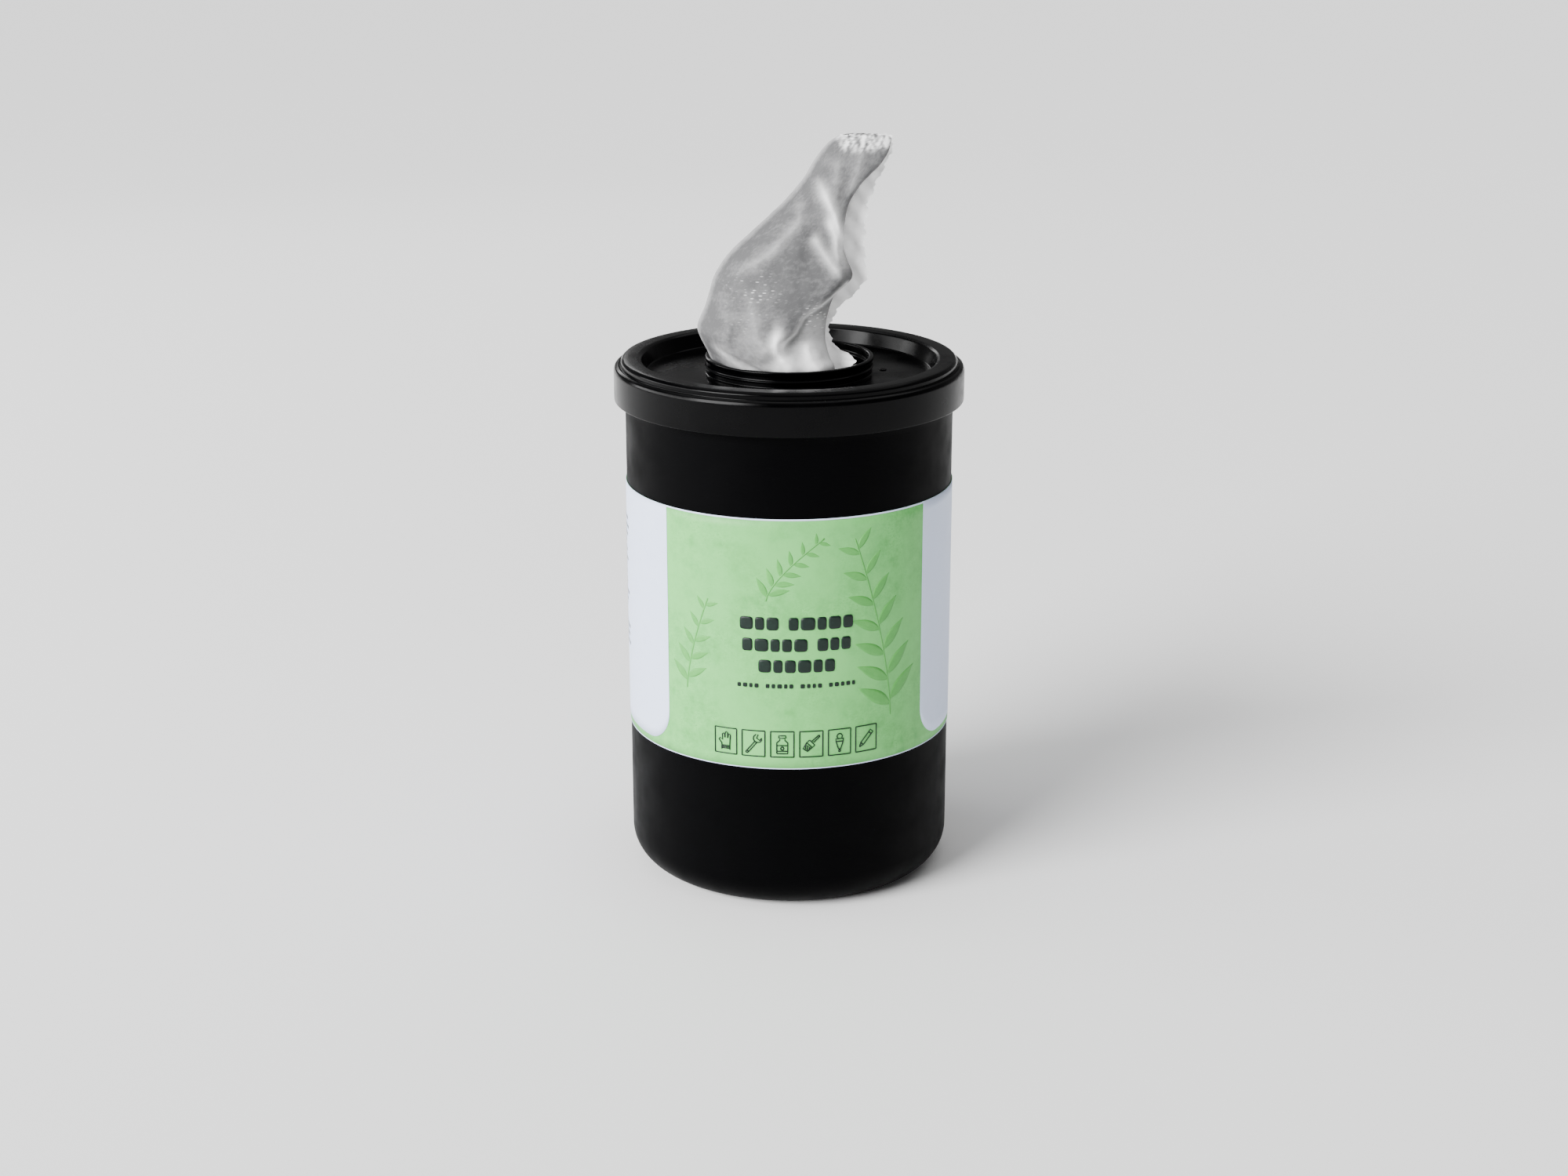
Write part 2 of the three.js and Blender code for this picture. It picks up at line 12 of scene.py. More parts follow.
import bmesh
import bpy
import numpy as np
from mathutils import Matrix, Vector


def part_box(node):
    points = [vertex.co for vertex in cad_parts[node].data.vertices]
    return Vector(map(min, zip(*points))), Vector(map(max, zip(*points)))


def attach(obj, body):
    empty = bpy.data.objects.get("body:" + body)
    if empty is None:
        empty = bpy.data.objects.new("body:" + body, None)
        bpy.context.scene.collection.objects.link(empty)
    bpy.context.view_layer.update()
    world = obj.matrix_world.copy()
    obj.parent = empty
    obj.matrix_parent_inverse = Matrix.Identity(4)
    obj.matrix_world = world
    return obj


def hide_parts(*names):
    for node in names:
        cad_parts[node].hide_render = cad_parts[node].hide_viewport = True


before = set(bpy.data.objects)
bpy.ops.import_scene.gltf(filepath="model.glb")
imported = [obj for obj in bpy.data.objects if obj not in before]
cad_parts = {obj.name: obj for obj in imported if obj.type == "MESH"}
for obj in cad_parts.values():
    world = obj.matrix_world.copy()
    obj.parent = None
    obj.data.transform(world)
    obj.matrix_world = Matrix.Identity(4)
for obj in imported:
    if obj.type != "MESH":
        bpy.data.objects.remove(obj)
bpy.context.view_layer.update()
MM = 0.001

# %% [markdown]
# Heights and radii come from the frame's own boxes. What the boxes can't say, such as a wall's
# thickness or a groove inside a piece, is named here once, in millimetres.

# %% Sizes in millimetres
def span(node, axis):
    """Lowest and highest value of a node along an axis, in millimetres."""
    low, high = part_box(node)
    return low[axis] / MM, high[axis] / MM


tub_top = span("tub", 2)[1]
skirt_foot, lip_top = span("lid", 2)
skirt_outer = span("lid", 0)[1]
roll_foot, roll_top = span("wipe_roll", 2)
label_foot, label_top = span("label", 2)
label_radius = span("label", 0)[1]
tail_foot, wipe_top = span("pulled_wipe", 2)

TUB_RADIUS = 58.0
TUB_WALL = 1.2
BASE_CORNER = 12.6
FOOT_WIDTH = 6.0
PUSH_UP = 1.5
COLLAR_RADIUS = 29.8
COLLAR_WALL = 1.8
COLLAR_DEPTH = 10.5
LIP_INNER = COLLAR_RADIUS - COLLAR_WALL
ring_top = lip_top - 0.3
membrane_top = lip_top - COLLAR_DEPTH
membrane_foot = membrane_top - 1.2
print("tub top", tub_top, "lid", skirt_foot, lip_top, "label", label_foot, label_top)

# %% [markdown]
# Most pieces are grids: a shape is a function of two parameters, and the points come out as one
# array of rows and columns. This helper makes the mesh from such an array. A closed direction
# joins its last line to its first. Every piece but the wipe is a closed skin, and bmesh then
# turns its faces to the outside.

# %% Grid helper
def grid_faces(rows, columns, close_rows=False, close_columns=False, first=0):
    """Quads of a grid: corner (i, j) joins (i, j+1), (i+1, j+1) and (i+1, j)."""
    i = np.arange(rows if close_rows else rows - 1)[:, None]
    j = np.arange(columns if close_columns else columns - 1)[None, :]
    k, m = (i + 1) % rows, (j + 1) % columns
    quads = np.stack([i * columns + j, i * columns + m, k * columns + m, k * columns + j], -1)
    return quads.reshape(-1, 4) + first


def two_sided(outer, inner):
    """A closed thin skin from two grids of points of the same size, joined by a rim: the rim's
    corners go along the first row, down the last column, and back round."""
    rows, columns = outer.shape[:2]
    count = rows * columns
    faces = grid_faces(rows, columns)
    edge = np.concatenate([np.arange(columns), columns * np.arange(1, rows) + columns - 1,
                           count - 2 - np.arange(columns - 1),
                           columns * np.arange(rows - 2, 0, -1)])
    after = np.roll(edge, -1)
    rim = np.stack([edge + count, edge, after, after + count], -1)
    points = np.concatenate([outer.reshape(-1, 3), inner.reshape(-1, 3)])
    return points, np.vstack([faces, faces[:, ::-1] + count, rim])


def face_outwards(mesh):
    """Turns all faces of a closed mesh to its outside."""
    shell = bmesh.new()
    shell.from_mesh(mesh)
    bmesh.ops.recalc_face_normals(shell, faces=shell.faces)
    shell.to_mesh(mesh)
    shell.free()


def make_piece(name, points, faces, uv=None, closed=True):
    """A mesh object from points in millimetres and a list or array of faces."""
    mesh = bpy.data.meshes.new(name)
    faces = faces.tolist() if isinstance(faces, np.ndarray) else faces
    mesh.from_pydata((np.asarray(points).reshape(-1, 3) * MM).tolist(), [], faces)
    if closed:
        face_outwards(mesh)
    if uv is not None:
        layer = mesh.uv_layers.new(name="UVMap")
        corner = np.zeros(len(mesh.loops), dtype=np.int32)
        mesh.loops.foreach_get("vertex_index", corner)
        layer.data.foreach_set("uv", uv.reshape(-1, 2)[corner].ravel())
    mesh.polygons.foreach_set("use_smooth", np.ones(len(mesh.polygons), dtype=bool))
    mesh.update()
    piece = bpy.data.objects.new(name, mesh)
    bpy.context.scene.collection.objects.link(piece)
    return piece


def join(parts):
    """One point array and one face list from several (points, faces) pairs."""
    points, faces, first = [], [], 0
    for part_points, part_faces in parts:
        part_points = np.asarray(part_points).reshape(-1, 3)
        points.append(part_points)
        faces += [[corner + first for corner in face] for face in part_faces]
        first += len(part_points)
    return np.concatenate(points), faces


def finish_piece(piece, body, material, nodes=()):
    """Gives a piece its body, its material and the nodes that it stands for."""
    piece.data.materials.append(material)
    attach(piece, body)
    if nodes:
        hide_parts(*nodes)
    print(f"{piece.name}: {len(piece.data.polygons)} faces")
    return piece


# %% [markdown]
# The camera stands in front, a little above the lid, and looks down by about 18 degrees. Its
# focal length is in millimetres on a 36 mm wide sensor.

# %% Camera
CAMERA_BACK = 870.2
CAMERA_HEIGHT = 377.75
CAMERA_PITCH = 0.307  # radians below level
FOCAL_PIXELS = 3206.5
IMAGE_WIDTH = 2000
AXIS_PIXEL = 1006.5
SENSOR = 36.0

camera_data = bpy.data.cameras.new("camera")
camera_data.sensor_width = SENSOR
camera_data.lens = FOCAL_PIXELS / IMAGE_WIDTH * SENSOR
camera_data.shift_x = (IMAGE_WIDTH / 2 - AXIS_PIXEL) / IMAGE_WIDTH
camera_data.clip_start = 0.01
camera = bpy.data.objects.new("camera", camera_data)
camera.location = (0, -CAMERA_BACK * MM, CAMERA_HEIGHT * MM)
camera.rotation_euler = (math.pi / 2 - CAMERA_PITCH, 0, 0)
bpy.context.scene.collection.objects.link(camera)
bpy.context.scene.camera = camera
print("lens", round(camera_data.lens, 2), "mm")

# %% [markdown]
# A material here is a Principled shader with its numbers on its own sockets, and a small chain
# of nodes for what varies over the surface: a noise on Object coordinates that changes the
# colour or the roughness a little, and a bump.

# %% Material helpers
class Finish:
    """A material under construction, with short names for the nodes that it needs."""

    def __init__(self, name, **sockets):
        self.material = bpy.data.materials.new(name)
        self.material.use_nodes = True
        self.tree = self.material.node_tree
        self.shader = self.tree.nodes["Principled BSDF"]
        for socket, value in sockets.items():
            self.shader.inputs[socket.replace("_", " ")].default_value = value
        self.where = self.tree.nodes.new("ShaderNodeTexCoord")

    def node(self, kind, **settings):
        """A new node, with its settings."""
        made = self.tree.nodes.new(kind)
        for key, value in settings.items():
            setattr(made, key, value)
        return made

    def link(self, source, target):
        """Joins an output to an input."""
        self.tree.links.new(source, target)

    def feed(self, target, value):
        """Links a socket or sets a plain value."""
        if isinstance(value, bpy.types.NodeSocket):
            self.link(value, target)
        else:
            target.default_value = value

    def math(self, operation, first, second=0.0):
        """One arithmetic step on two sockets or numbers."""
        made = self.node("ShaderNodeMath", operation=operation)
        self.feed(made.inputs[0], first)
        self.feed(made.inputs[1], second)
        return made.outputs[0]

    def noise(self, scale, detail=3.0, roughness=0.5, stretch=(1, 1, 1), source="Object"):
        """A noise from 0 to 1 whose grain is 1/scale metres, stretched along the axes."""
        mapping = self.node("ShaderNodeMapping")
        mapping.inputs["Scale"].default_value = stretch
        self.link(self.where.outputs[source], mapping.inputs["Vector"])
        made = self.node("ShaderNodeTexNoise")
        self.link(mapping.outputs[0], made.inputs["Vector"])
        made.inputs["Scale"].default_value = scale
        made.inputs["Detail"].default_value = detail
        made.inputs["Roughness"].default_value = roughness
        return made.outputs["Fac"]

    def span(self, value, low, high, to_low=0.0, to_high=1.0):
        """Maps low..high to to_low..to_high, clamped."""
        made = self.node("ShaderNodeMapRange")
        for socket, number in zip(made.inputs[:5], (value, low, high, to_low, to_high)):
            self.feed(socket, number)
        return made.outputs[0]

    def mix(self, share, first, second):
        """A colour between two, by a share."""
        made = self.node("ShaderNodeMix", data_type="RGBA")
        self.feed(made.inputs[0], share)
        self.feed(made.inputs[6], first)
        self.feed(made.inputs[7], second)
        return made.outputs[2]

    def bump(self, height, depth_mm, strength=1.0):
        """Bumps of a depth in millimetres."""
        made = self.node("ShaderNodeBump")
        made.inputs["Strength"].default_value = strength
        made.inputs["Distance"].default_value = depth_mm * MM
        self.link(height, made.inputs["Height"])
        self.link(made.outputs[0], self.shader.inputs["Normal"])

    def attribute(self, name):
        """A value that the mesh holds at each point."""
        return self.node("ShaderNodeAttribute", attribute_name=name).outputs["Fac"]


def rgb(red, green, blue):
    """A linear colour from the 0 to 255 values of a screen colour."""
    return tuple(((c / 255) ** 2.2) for c in (red, green, blue)) + (1.0,)


# %% [markdown]
# Black plastic. The tub is blown into a mould with a fine matt grain. The lid is injection
# moulded and glossier, with faint flow marks and a few scuffs from handling.

# %% Black plastics
def tub_plastic():
    """Satin black with a fine mould grain and slow roughness changes. The mould's parting line
    is a fine ridge in the bump where y is near 0."""
    finish = Finish("tub_plastic", Metallic=0.0, Specular_IOR_Level=0.03)
    cloudy = finish.noise(38.0, 4.0, 0.55, (1, 1, 0.35))
    dark, light = rgb(2, 2, 4), rgb(8, 8, 10)
    finish.link(finish.mix(cloudy, dark, light), finish.shader.inputs["Base Color"])
    rough = finish.span(finish.noise(90.0, 3.0), 0.3, 0.7, 0.40, 0.54)
    finish.link(rough, finish.shader.inputs["Roughness"])
    split = finish.node("ShaderNodeSeparateXYZ")
    finish.link(finish.where.outputs["Object"], split.inputs[0])
    line = finish.span(finish.math("ABSOLUTE", split.outputs["Y"]), 0.0, 0.25 * MM, 8.0, 0.0)
    finish.bump(finish.math("ADD", finish.noise(2600.0, 2.0), line), 0.012, 0.5)
    return finish.material


def lid_plastic():
    """Gloss black with flow marks, fine scuffs and a duller patch here and there."""
    finish = Finish("lid_plastic", Metallic=0.0, Specular_IOR_Level=0.08)
    finish.shader.inputs["Base Color"].default_value = rgb(4, 4, 6)
    dull = finish.span(finish.noise(55.0, 4.0, 0.6), 0.42, 0.72, 0.17, 0.36)
    finish.link(dull, finish.shader.inputs["Roughness"])
    scuffs = finish.noise(420.0, 3.0, 0.6, (1, 1, 3.5))
    finish.bump(scuffs, 0.010, 0.35)
    return finish.material


tub_black = tub_plastic()
lid_black = lid_plastic()
print("plastics:", tub_black.name, lid_black.name)

# %% [markdown]
# Turned pieces. A profile is a line of radius and height, and turning it about the axis gives
# the surface. The lid's profile is a closed loop. The tub's is open, with a disc at each end.
# Corners get round arcs, as a mould has, so that they catch the light. We could use the Screw
# modifier, but a grid keeps the seam closed and the faces even.

# %% Turning helpers
AROUND = 240


def arc(centre_radius, centre_z, radius, start, end, steps):
    """Points of an arc in the profile plane: centre plus radius times cosine and sine."""
    angle = np.radians(np.linspace(start, end, steps + 1))
    return np.stack([centre_radius + radius * np.cos(angle), centre_z + radius * np.sin(angle)], 1)


def rounded(profile, radius, steps=3):
    """Rounds each corner of a closed loop of [radius, z] points. The corner becomes a quadratic
    curve that starts and ends up to `radius` from it, and never past the middle of a side."""
    points = np.array(profile, dtype=float)
    before, after = np.roll(points, 1, 0) - points, np.roll(points, -1, 0) - points
    to_before, to_after = np.linalg.norm(before, axis=1), np.linalg.norm(after, axis=1)
    start = points + before * np.minimum(radius / to_before, 0.45)[:, None]
    end = points + after * np.minimum(radius / to_after, 0.45)[:, None]
    t = np.linspace(0, 1, steps + 1)[None, :, None]
    curve = (1 - t) ** 2 * start[:, None] + 2 * t * (1 - t) * points[:, None] + t**2 * end[:, None]
    return curve.reshape(-1, 2)


def turned_points(profile, around):
    """Rows of an angle each: x = r sin(a), y = -r cos(a), z = z."""
    angle = 2 * np.pi * np.arange(around)[:, None] / around
    r, z = profile[None, :, 0], profile[None, :, 1]
    return np.stack([r * np.sin(angle), -r * np.cos(angle), z + 0 * angle], -1)


def turn(profile, around=AROUND):
    """Turns a closed profile about Z."""
    return turned_points(profile, around), grid_faces(around, len(profile), True, True)


def turn_and_cap(profile, around=AROUND):
    """Turns an open profile about Z, and closes both of its ends with a flat disc round one more
    point on the axis."""
    count = len(profile)
    ends = [[0, 0, profile[0, 1]], [0, 0, profile[-1, 1]]]
    points = np.vstack([turned_points(profile, around).reshape(-1, 3), ends])
    first = count * np.arange(around)
    after = np.roll(first, -1)
    low = np.stack([after, first, np.full(around, count * around)], -1)
    high = np.stack([first, after, np.full(around, count * around + 1)], -1) + [count - 1, count - 1, 0]
    return points, grid_faces(around, count, True, False).tolist() + low.tolist() + high.tolist()


# %% [markdown]
# The tub is one wall of polyethylene, blown in a mould. Its base corner is round, and the base
# panel is pushed up so that the tub stands on a ring. A faint parting line runs up both sides,
# where the mould's halves meet.

# %% Tub
BEAD_DEPTH, BEAD_HEIGHT, BEAD_DROP = 2.1, 4.0, 4.0
WALL_END = 170.0  # height where the plain wall ends and the rim starts
bead_top = tub_top - BEAD_DROP


def tub_profile():
    """The wall as an open line from the base panel's underside out, up, over the rim and back
    down inside to the floor. Discs close its two ends."""
    foot_outer = TUB_RADIUS - BASE_CORNER
    foot_inner = foot_outer - FOOT_WIDTH
    bead_outer, bead_foot = TUB_RADIUS + BEAD_DEPTH, bead_top - BEAD_HEIGHT
    wall_top = bead_foot - BEAD_DEPTH
    outside = [[foot_inner - 3, PUSH_UP], [foot_inner - 0.6, 0.25], [foot_inner, 0.0],
               [foot_outer, 0.0]]
    corner = arc(foot_outer, BASE_CORNER, BASE_CORNER, -90, 0, 24)[1:]
    wall = np.stack([np.full(30, TUB_RADIUS), np.linspace(BASE_CORNER + 3, WALL_END, 30)], 1)
    rim = [[TUB_RADIUS, wall_top], [bead_outer, bead_foot], [bead_outer, bead_top - 1.05],
           [TUB_RADIUS, bead_top],
           [TUB_RADIUS, tub_top - 0.3], [TUB_RADIUS - 0.3, tub_top],
           [TUB_RADIUS - TUB_WALL + 0.3, tub_top], [TUB_RADIUS - TUB_WALL, tub_top - 0.3]]
    inner_wall = np.stack([np.full(8, TUB_RADIUS - TUB_WALL), np.linspace(WALL_END, 16, 8)], 1)
    inner_corner = arc(foot_outer, BASE_CORNER, BASE_CORNER - TUB_WALL, 0, -90, 16)
    inside = [[foot_inner, TUB_WALL], [foot_inner - 3, PUSH_UP + TUB_WALL]]
    return np.vstack([outside, corner, wall, rim, inner_wall, inner_corner, inside])


tub_piece = make_piece("tub_wall", *turn_and_cap(tub_profile()))
finish_piece(tub_piece, "tub", tub_black, ["tub"])

# %% [markdown]
# The lid is one moulding too. From the outside in: a skirt that grips the bead under the tub's
# rim, a rounded shoulder, a raised ring, a well, and the collar with a thin line round it. Inside
# the collar two ribs step in, and its floor is cut into tongues that grip the wipe.

# %% Lid
LID_WALL = 1.5
SHOULDER_STEP, SHOULDER_ROUND = 2.6, 1.6
RING_HEIGHT, RING_WIDTH = 2.4, 7.2
WELL_DEPTH, WELL_DRAFT = 5.5, 1.6
COLLAR_RIB, COLLAR_NECKING, COLLAR_LINE = 0.7, 0.6, 0.5
PLUG_WALL, PLUG_DEPTH = 1.2, 3.0
CUP_WALL, CUP_DEPTH = 1.8, 7.0
CLEARANCE = 0.3
SLIT_REACH = 12.0
ORIFICE_RADIUS = 6.0
SLITS = 6
well_floor = ring_top - WELL_DEPTH


def lid_profile():
    """The lid's section as a closed loop, from the skirt's foot over the top to the hole in the
    collar's floor, and back along the underside."""
    ring_outer = skirt_outer - SHOULDER_STEP
    rim_inner = ring_outer - RING_WIDTH
    well_radius = rim_inner - WELL_DRAFT
    necked = COLLAR_RADIUS - COLLAR_NECKING
    lined = necked + COLLAR_LINE
    skirt_inner = skirt_outer - LID_WALL
    under = ring_top - LID_WALL
    plug_outer = TUB_RADIUS - TUB_WALL - CLEARANCE
    plug_inner, plug_foot = plug_outer - PLUG_WALL, under - PLUG_DEPTH
    over_tub = TUB_RADIUS + CLEARANCE
    shoulder = ring_top - RING_HEIGHT
    rib = LIP_INNER - COLLAR_RIB
    cup = rib - COLLAR_RIB
    rib_foot, cup_top = lip_top - 3.5, lip_top - CUP_DEPTH
    cup_outer, cup_foot = cup + CUP_WALL, ring_top - CUP_DEPTH
    top = [
        [skirt_inner, skirt_foot], [skirt_outer, skirt_foot],
        [skirt_outer, skirt_foot + 4], [skirt_outer, shoulder - SHOULDER_ROUND],
        [skirt_outer - 0.45, shoulder - 0.45], [skirt_outer - SHOULDER_ROUND, shoulder],
        [skirt_outer - 2.0, shoulder - 0.25], [ring_outer, shoulder - 0.35],
        [ring_outer, ring_top - 0.9], [ring_outer - 0.9, ring_top],
        [ring_outer - 3, ring_top + 0.02], [rim_inner + 1.2, ring_top],
        [rim_inner, ring_top - 0.6], [well_radius, well_floor], [well_radius - 6, well_floor],
        [necked + 6, well_floor], [necked, well_floor],
        [necked, lip_top - 4.15], [lined, lip_top - 3.75], [lined, lip_top - 3.5],
        [necked, lip_top - 3.1], [necked, lip_top - 1.8], [COLLAR_RADIUS, lip_top - 1.2],
        [COLLAR_RADIUS, lip_top - 0.1], [COLLAR_RADIUS - 0.9, lip_top + 0.12],
        [LIP_INNER, lip_top - 0.1],
    ]
    bottom = [
        [LIP_INNER, rib_foot + COLLAR_RIB], [rib, rib_foot], [rib, cup_top + COLLAR_RIB],
        [cup, cup_top],
        [cup, membrane_top], [SLIT_REACH + 4, membrane_top], [SLIT_REACH, membrane_top],
        [SLIT_REACH, membrane_foot], [cup_outer, membrane_foot], [cup_outer, cup_foot],
        [rim_inner - 0.1, cup_foot], [rim_inner + LID_WALL, under], [plug_inner, under],
        [plug_inner, plug_foot], [plug_outer, plug_foot], [plug_outer, under],
        [over_tub, under], [over_tub, bead_top + 2.4], [skirt_inner, bead_top + CLEARANCE],
    ]
    return rounded(top + bottom, 0.42, 4)


def lid_tongues():
    """Tongues between the slits. Each is a closed grid over angle and radius, and bends up
    towards the orifice: rise = lift * (1 - share)^2, as the wipe has drawn it up."""
    parts = []
    lift, gap = 1.0, 0.6
    share = np.linspace(0, 1, 9)[:, None]
    radius = ORIFICE_RADIUS + (SLIT_REACH + 0.1 - ORIFICE_RADIUS) * share
    for k in range(SLITS):
        half = np.pi / SLITS - gap / radius
        angle = 2 * np.pi * k / SLITS + half * np.linspace(-1, 1, 13)[None, :]
        rise = lift * (1 - share) ** 2
        x, y = radius * np.sin(angle), -radius * np.cos(angle)
        upper = np.stack([x, y, membrane_top - 0.02 + rise + 0 * angle], -1)
        lower = np.stack([x, y, membrane_foot + 0.25 + rise + 0 * angle], -1)
        parts.append(two_sided(upper, lower))
    return join(parts)


lid_piece = make_piece("lid_moulding", *turn(lid_profile()))
finish_piece(lid_piece, "lid", lid_black, ["lid"])
finish_piece(make_piece("lid_tongues", *lid_tongues()), "lid", lid_black)

# %% [markdown]
# Where the plastic entered the lid's mould, a small flat nub is left on the well's floor.

# %% Gate nub
NUB_X, NUB_Y = 33.2, 1.2
NUB_RADIUS, NUB_HEIGHT = 1.3, 0.35


def low_button():
    """A low round button with a soft edge, turned about Z and moved to its place."""
    profile = np.array([[NUB_RADIUS, -0.05], [NUB_RADIUS, 0.6 * NUB_HEIGHT],
                        [NUB_RADIUS - 0.25, NUB_HEIGHT]])
    points, faces = turn_and_cap(profile, 32)
    return points + [NUB_X, NUB_Y, well_floor], faces


finish_piece(make_piece("gate_nub", *low_button()), "lid", lid_black)

# %% [markdown]
# The label is a printed film glued round the tub. Its green field has a soft, worn mottle, and the
# print on it lies in thin layers: white panels with round corners, a tone-on-tone sprig of leaves, dark
# blocks and a row of line drawings.

# %% Label materials
def film(name, colour, other, amount, grain=(230.0, 30.0), speckle=0.0):
    """A satin printed film whose colour drifts between two tones, fine and coarse, and whose
    surface has the slight waves of a film that was laid by hand. A speckle adds small worn
    flecks to the print."""
    finish = Finish(name, Metallic=0.0, Specular_IOR_Level=0.3)
    fine = finish.span(finish.noise(grain[0], 6.0, 0.7), 0.38, 0.72)
    coarse = finish.span(finish.noise(grain[1], 4.0, 0.6), 0.35, 0.7)
    flecks = finish.span(finish.noise(1100.0, 8.0, 0.75, (1, 1, 1.6)), 0.50, 0.66, 0.0, speckle)
    share = finish.math("MULTIPLY", finish.math("MULTIPLY", fine, coarse), amount)
    share = finish.math("MAXIMUM", share, finish.math("MULTIPLY", flecks, coarse))
    finish.link(finish.mix(share, colour, other), finish.shader.inputs["Base Color"])
    finish.link(finish.span(coarse, 0.0, 1.0, 0.42, 0.52), finish.shader.inputs["Roughness"])
    finish.bump(finish.noise(60.0, 2.0), 0.05, 0.25)
    return finish.material


green = rgb(110, 194, 106)
green_worn = rgb(70, 146, 70)
label_green = film("label_green", green, green_worn, 1.0, (230.0, 38.0), 0.9)
label_white = film("label_white", rgb(214, 226, 252), rgb(202, 214, 243), 0.6)
sprig_green = film("sprig_green", rgb(80, 158, 74), rgb(98, 180, 90), 1.0, (420.0, 70.0), 0.8)
print_dark = film("print_dark", rgb(10, 28, 22), rgb(22, 44, 36), 1.0, (900.0, 200.0))
print("label finishes:", [m.name for m in (label_green, label_white, sprig_green, print_dark)])

# %% [markdown]
# Everything on the label is drawn flat first, with x along the film and y up, and then bent
# round the tub: the distance along the film becomes an angle.

# %% Bending onto the tub
FILM = 0.1
LAYER_LIFT = 0.25
# how many lifts each layer of the print stands off the film
LEAF_LAYER, STEM_LAYER, PANEL_LAYER, PRINT_LAYER, SMALL_LAYER = 0.3, 0.35, 0.4, 0.8, 0.9


def bend(flat, layer=0.0, middle=0.0):
    """Bends [x, y] points round the tub: angle = middle + x / radius, height = y above the
    label's foot. A layer lifts the point off the tub."""
    radius = label_radius - FILM + layer * LAYER_LIFT
    angle = math.radians(middle) + flat[..., 0] / radius
    r = radius + (flat[..., 2] if flat.shape[-1] > 2 else 0)
    return np.stack([r * np.sin(angle), -r * np.cos(angle), label_foot + flat[..., 1]], -1)


def skin(x, y, layer, middle=0.0, thickness=FILM):
    """A closed thin skin over a grid of flat x and y: an outer and an inner copy and a rim."""
    outer = bend(np.stack([x, y, 0 * x + thickness], -1), layer, middle)
    inner = bend(np.stack([x, y, 0 * x], -1), layer, middle)
    return two_sided(outer, inner)


# %% [markdown]
# The film itself, its green field and the two white panels. A panel's lower edge follows a
# quarter circle at each end: y = foot + c - sqrt(c^2 - (c - d)^2), where d is the distance from
# the end and c is the corner's radius.

# %% Film and panels
label_height = label_top - label_foot
PANEL_EDGES = (-46.2, 52.5)
PANEL_BACK_EDGE = 160.0
PANEL_CORNER = 12.0
PANEL_LIFT = 2.4


def film_ring():
    """The film as a turned ring of thin rectangular section."""
    inner, outer = TUB_RADIUS + 0.08, label_radius - 0.02
    heights = np.linspace(label_foot, label_top, 24)
    out = np.stack([np.full(24, outer), heights], 1)
    back = np.stack([np.full(24, inner), heights[::-1]], 1)
    return turn(np.vstack([out, back]))


def panel(start, end):
    """A white panel from one azimuth to another, as a skin of the panels' layer."""
    length = math.radians(end - start) * label_radius
    near = PANEL_CORNER * (1 - np.cos(np.linspace(0, np.pi / 2, 14)))
    along = np.concatenate([near[:-1], np.linspace(PANEL_CORNER, length - PANEL_CORNER, 40),
                            (length - near[::-1])[1:]])
    inside = np.maximum(PANEL_CORNER - np.minimum(along, length - along), 0)
    low = PANEL_LIFT + PANEL_CORNER - np.sqrt(PANEL_CORNER**2 - inside**2)
    share = np.linspace(0, 1, 24)[None, :]
    y = low[:, None] + (label_height - low[:, None]) * share
    x = along[:, None] + 0 * share + math.radians(start) * label_radius
    return skin(x.T, y.T, PANEL_LAYER)


film_piece = make_piece("label_film", *film_ring())
finish_piece(film_piece, "tub", label_green, ["label"])
for side, start, end in (("left", -PANEL_BACK_EDGE, PANEL_EDGES[0]),
                         ("right", PANEL_EDGES[1], PANEL_BACK_EDGE)):
    panel_piece = make_piece(f"panel_{side}", *panel(start, end))
    finish_piece(panel_piece, "tub", label_white, [f"label_panel_{side}"])

# %% [markdown]
# At the back the film's end laps over its start, as one more thin layer of the green field.

# %% Overlap at the back
OVERLAP = (171.0, 180.0)
lap_x = np.linspace(0, math.radians(OVERLAP[1] - OVERLAP[0]) * label_radius, 12)[None, :]
lap_y = np.linspace(0.3, label_height - 0.3, 16)[:, None]
overlap = skin(lap_x + 0 * lap_y, lap_y + 0 * lap_x, PANEL_LAYER, OVERLAP[0])
finish_piece(make_piece("label_overlap", *overlap), "tub", label_green)

# %% [markdown]
# A thin light line runs round the film's top and bottom edges, where the print stops short of
# the cut. Each is a narrow skin that just covers the film's edge.

# %% Edge lines
def edge_line(low, high, around=180):
    """A closed narrow band round the whole film."""
    inner, outer = label_radius - 0.02, label_radius + 0.05
    profile = np.array([[outer, low], [outer, high], [inner, high], [inner, low]])
    return turn(profile, around)


LINE_WIDTH = 0.55
lines = join([edge_line(label_height - LINE_WIDTH + label_foot, label_top + 0.02),
              edge_line(label_foot - 0.02, label_foot + 0.3)])
finish_piece(make_piece("label_edges", *lines), "tub", label_white)

# %% [markdown]
# The print. Rows of dark rounded blocks stand where a label has its heading. They are plain
# blocks of letter size with no wording. Each block is a small grid: a superellipse, whose
# exponent of 5 gives a rectangle with soft corners.

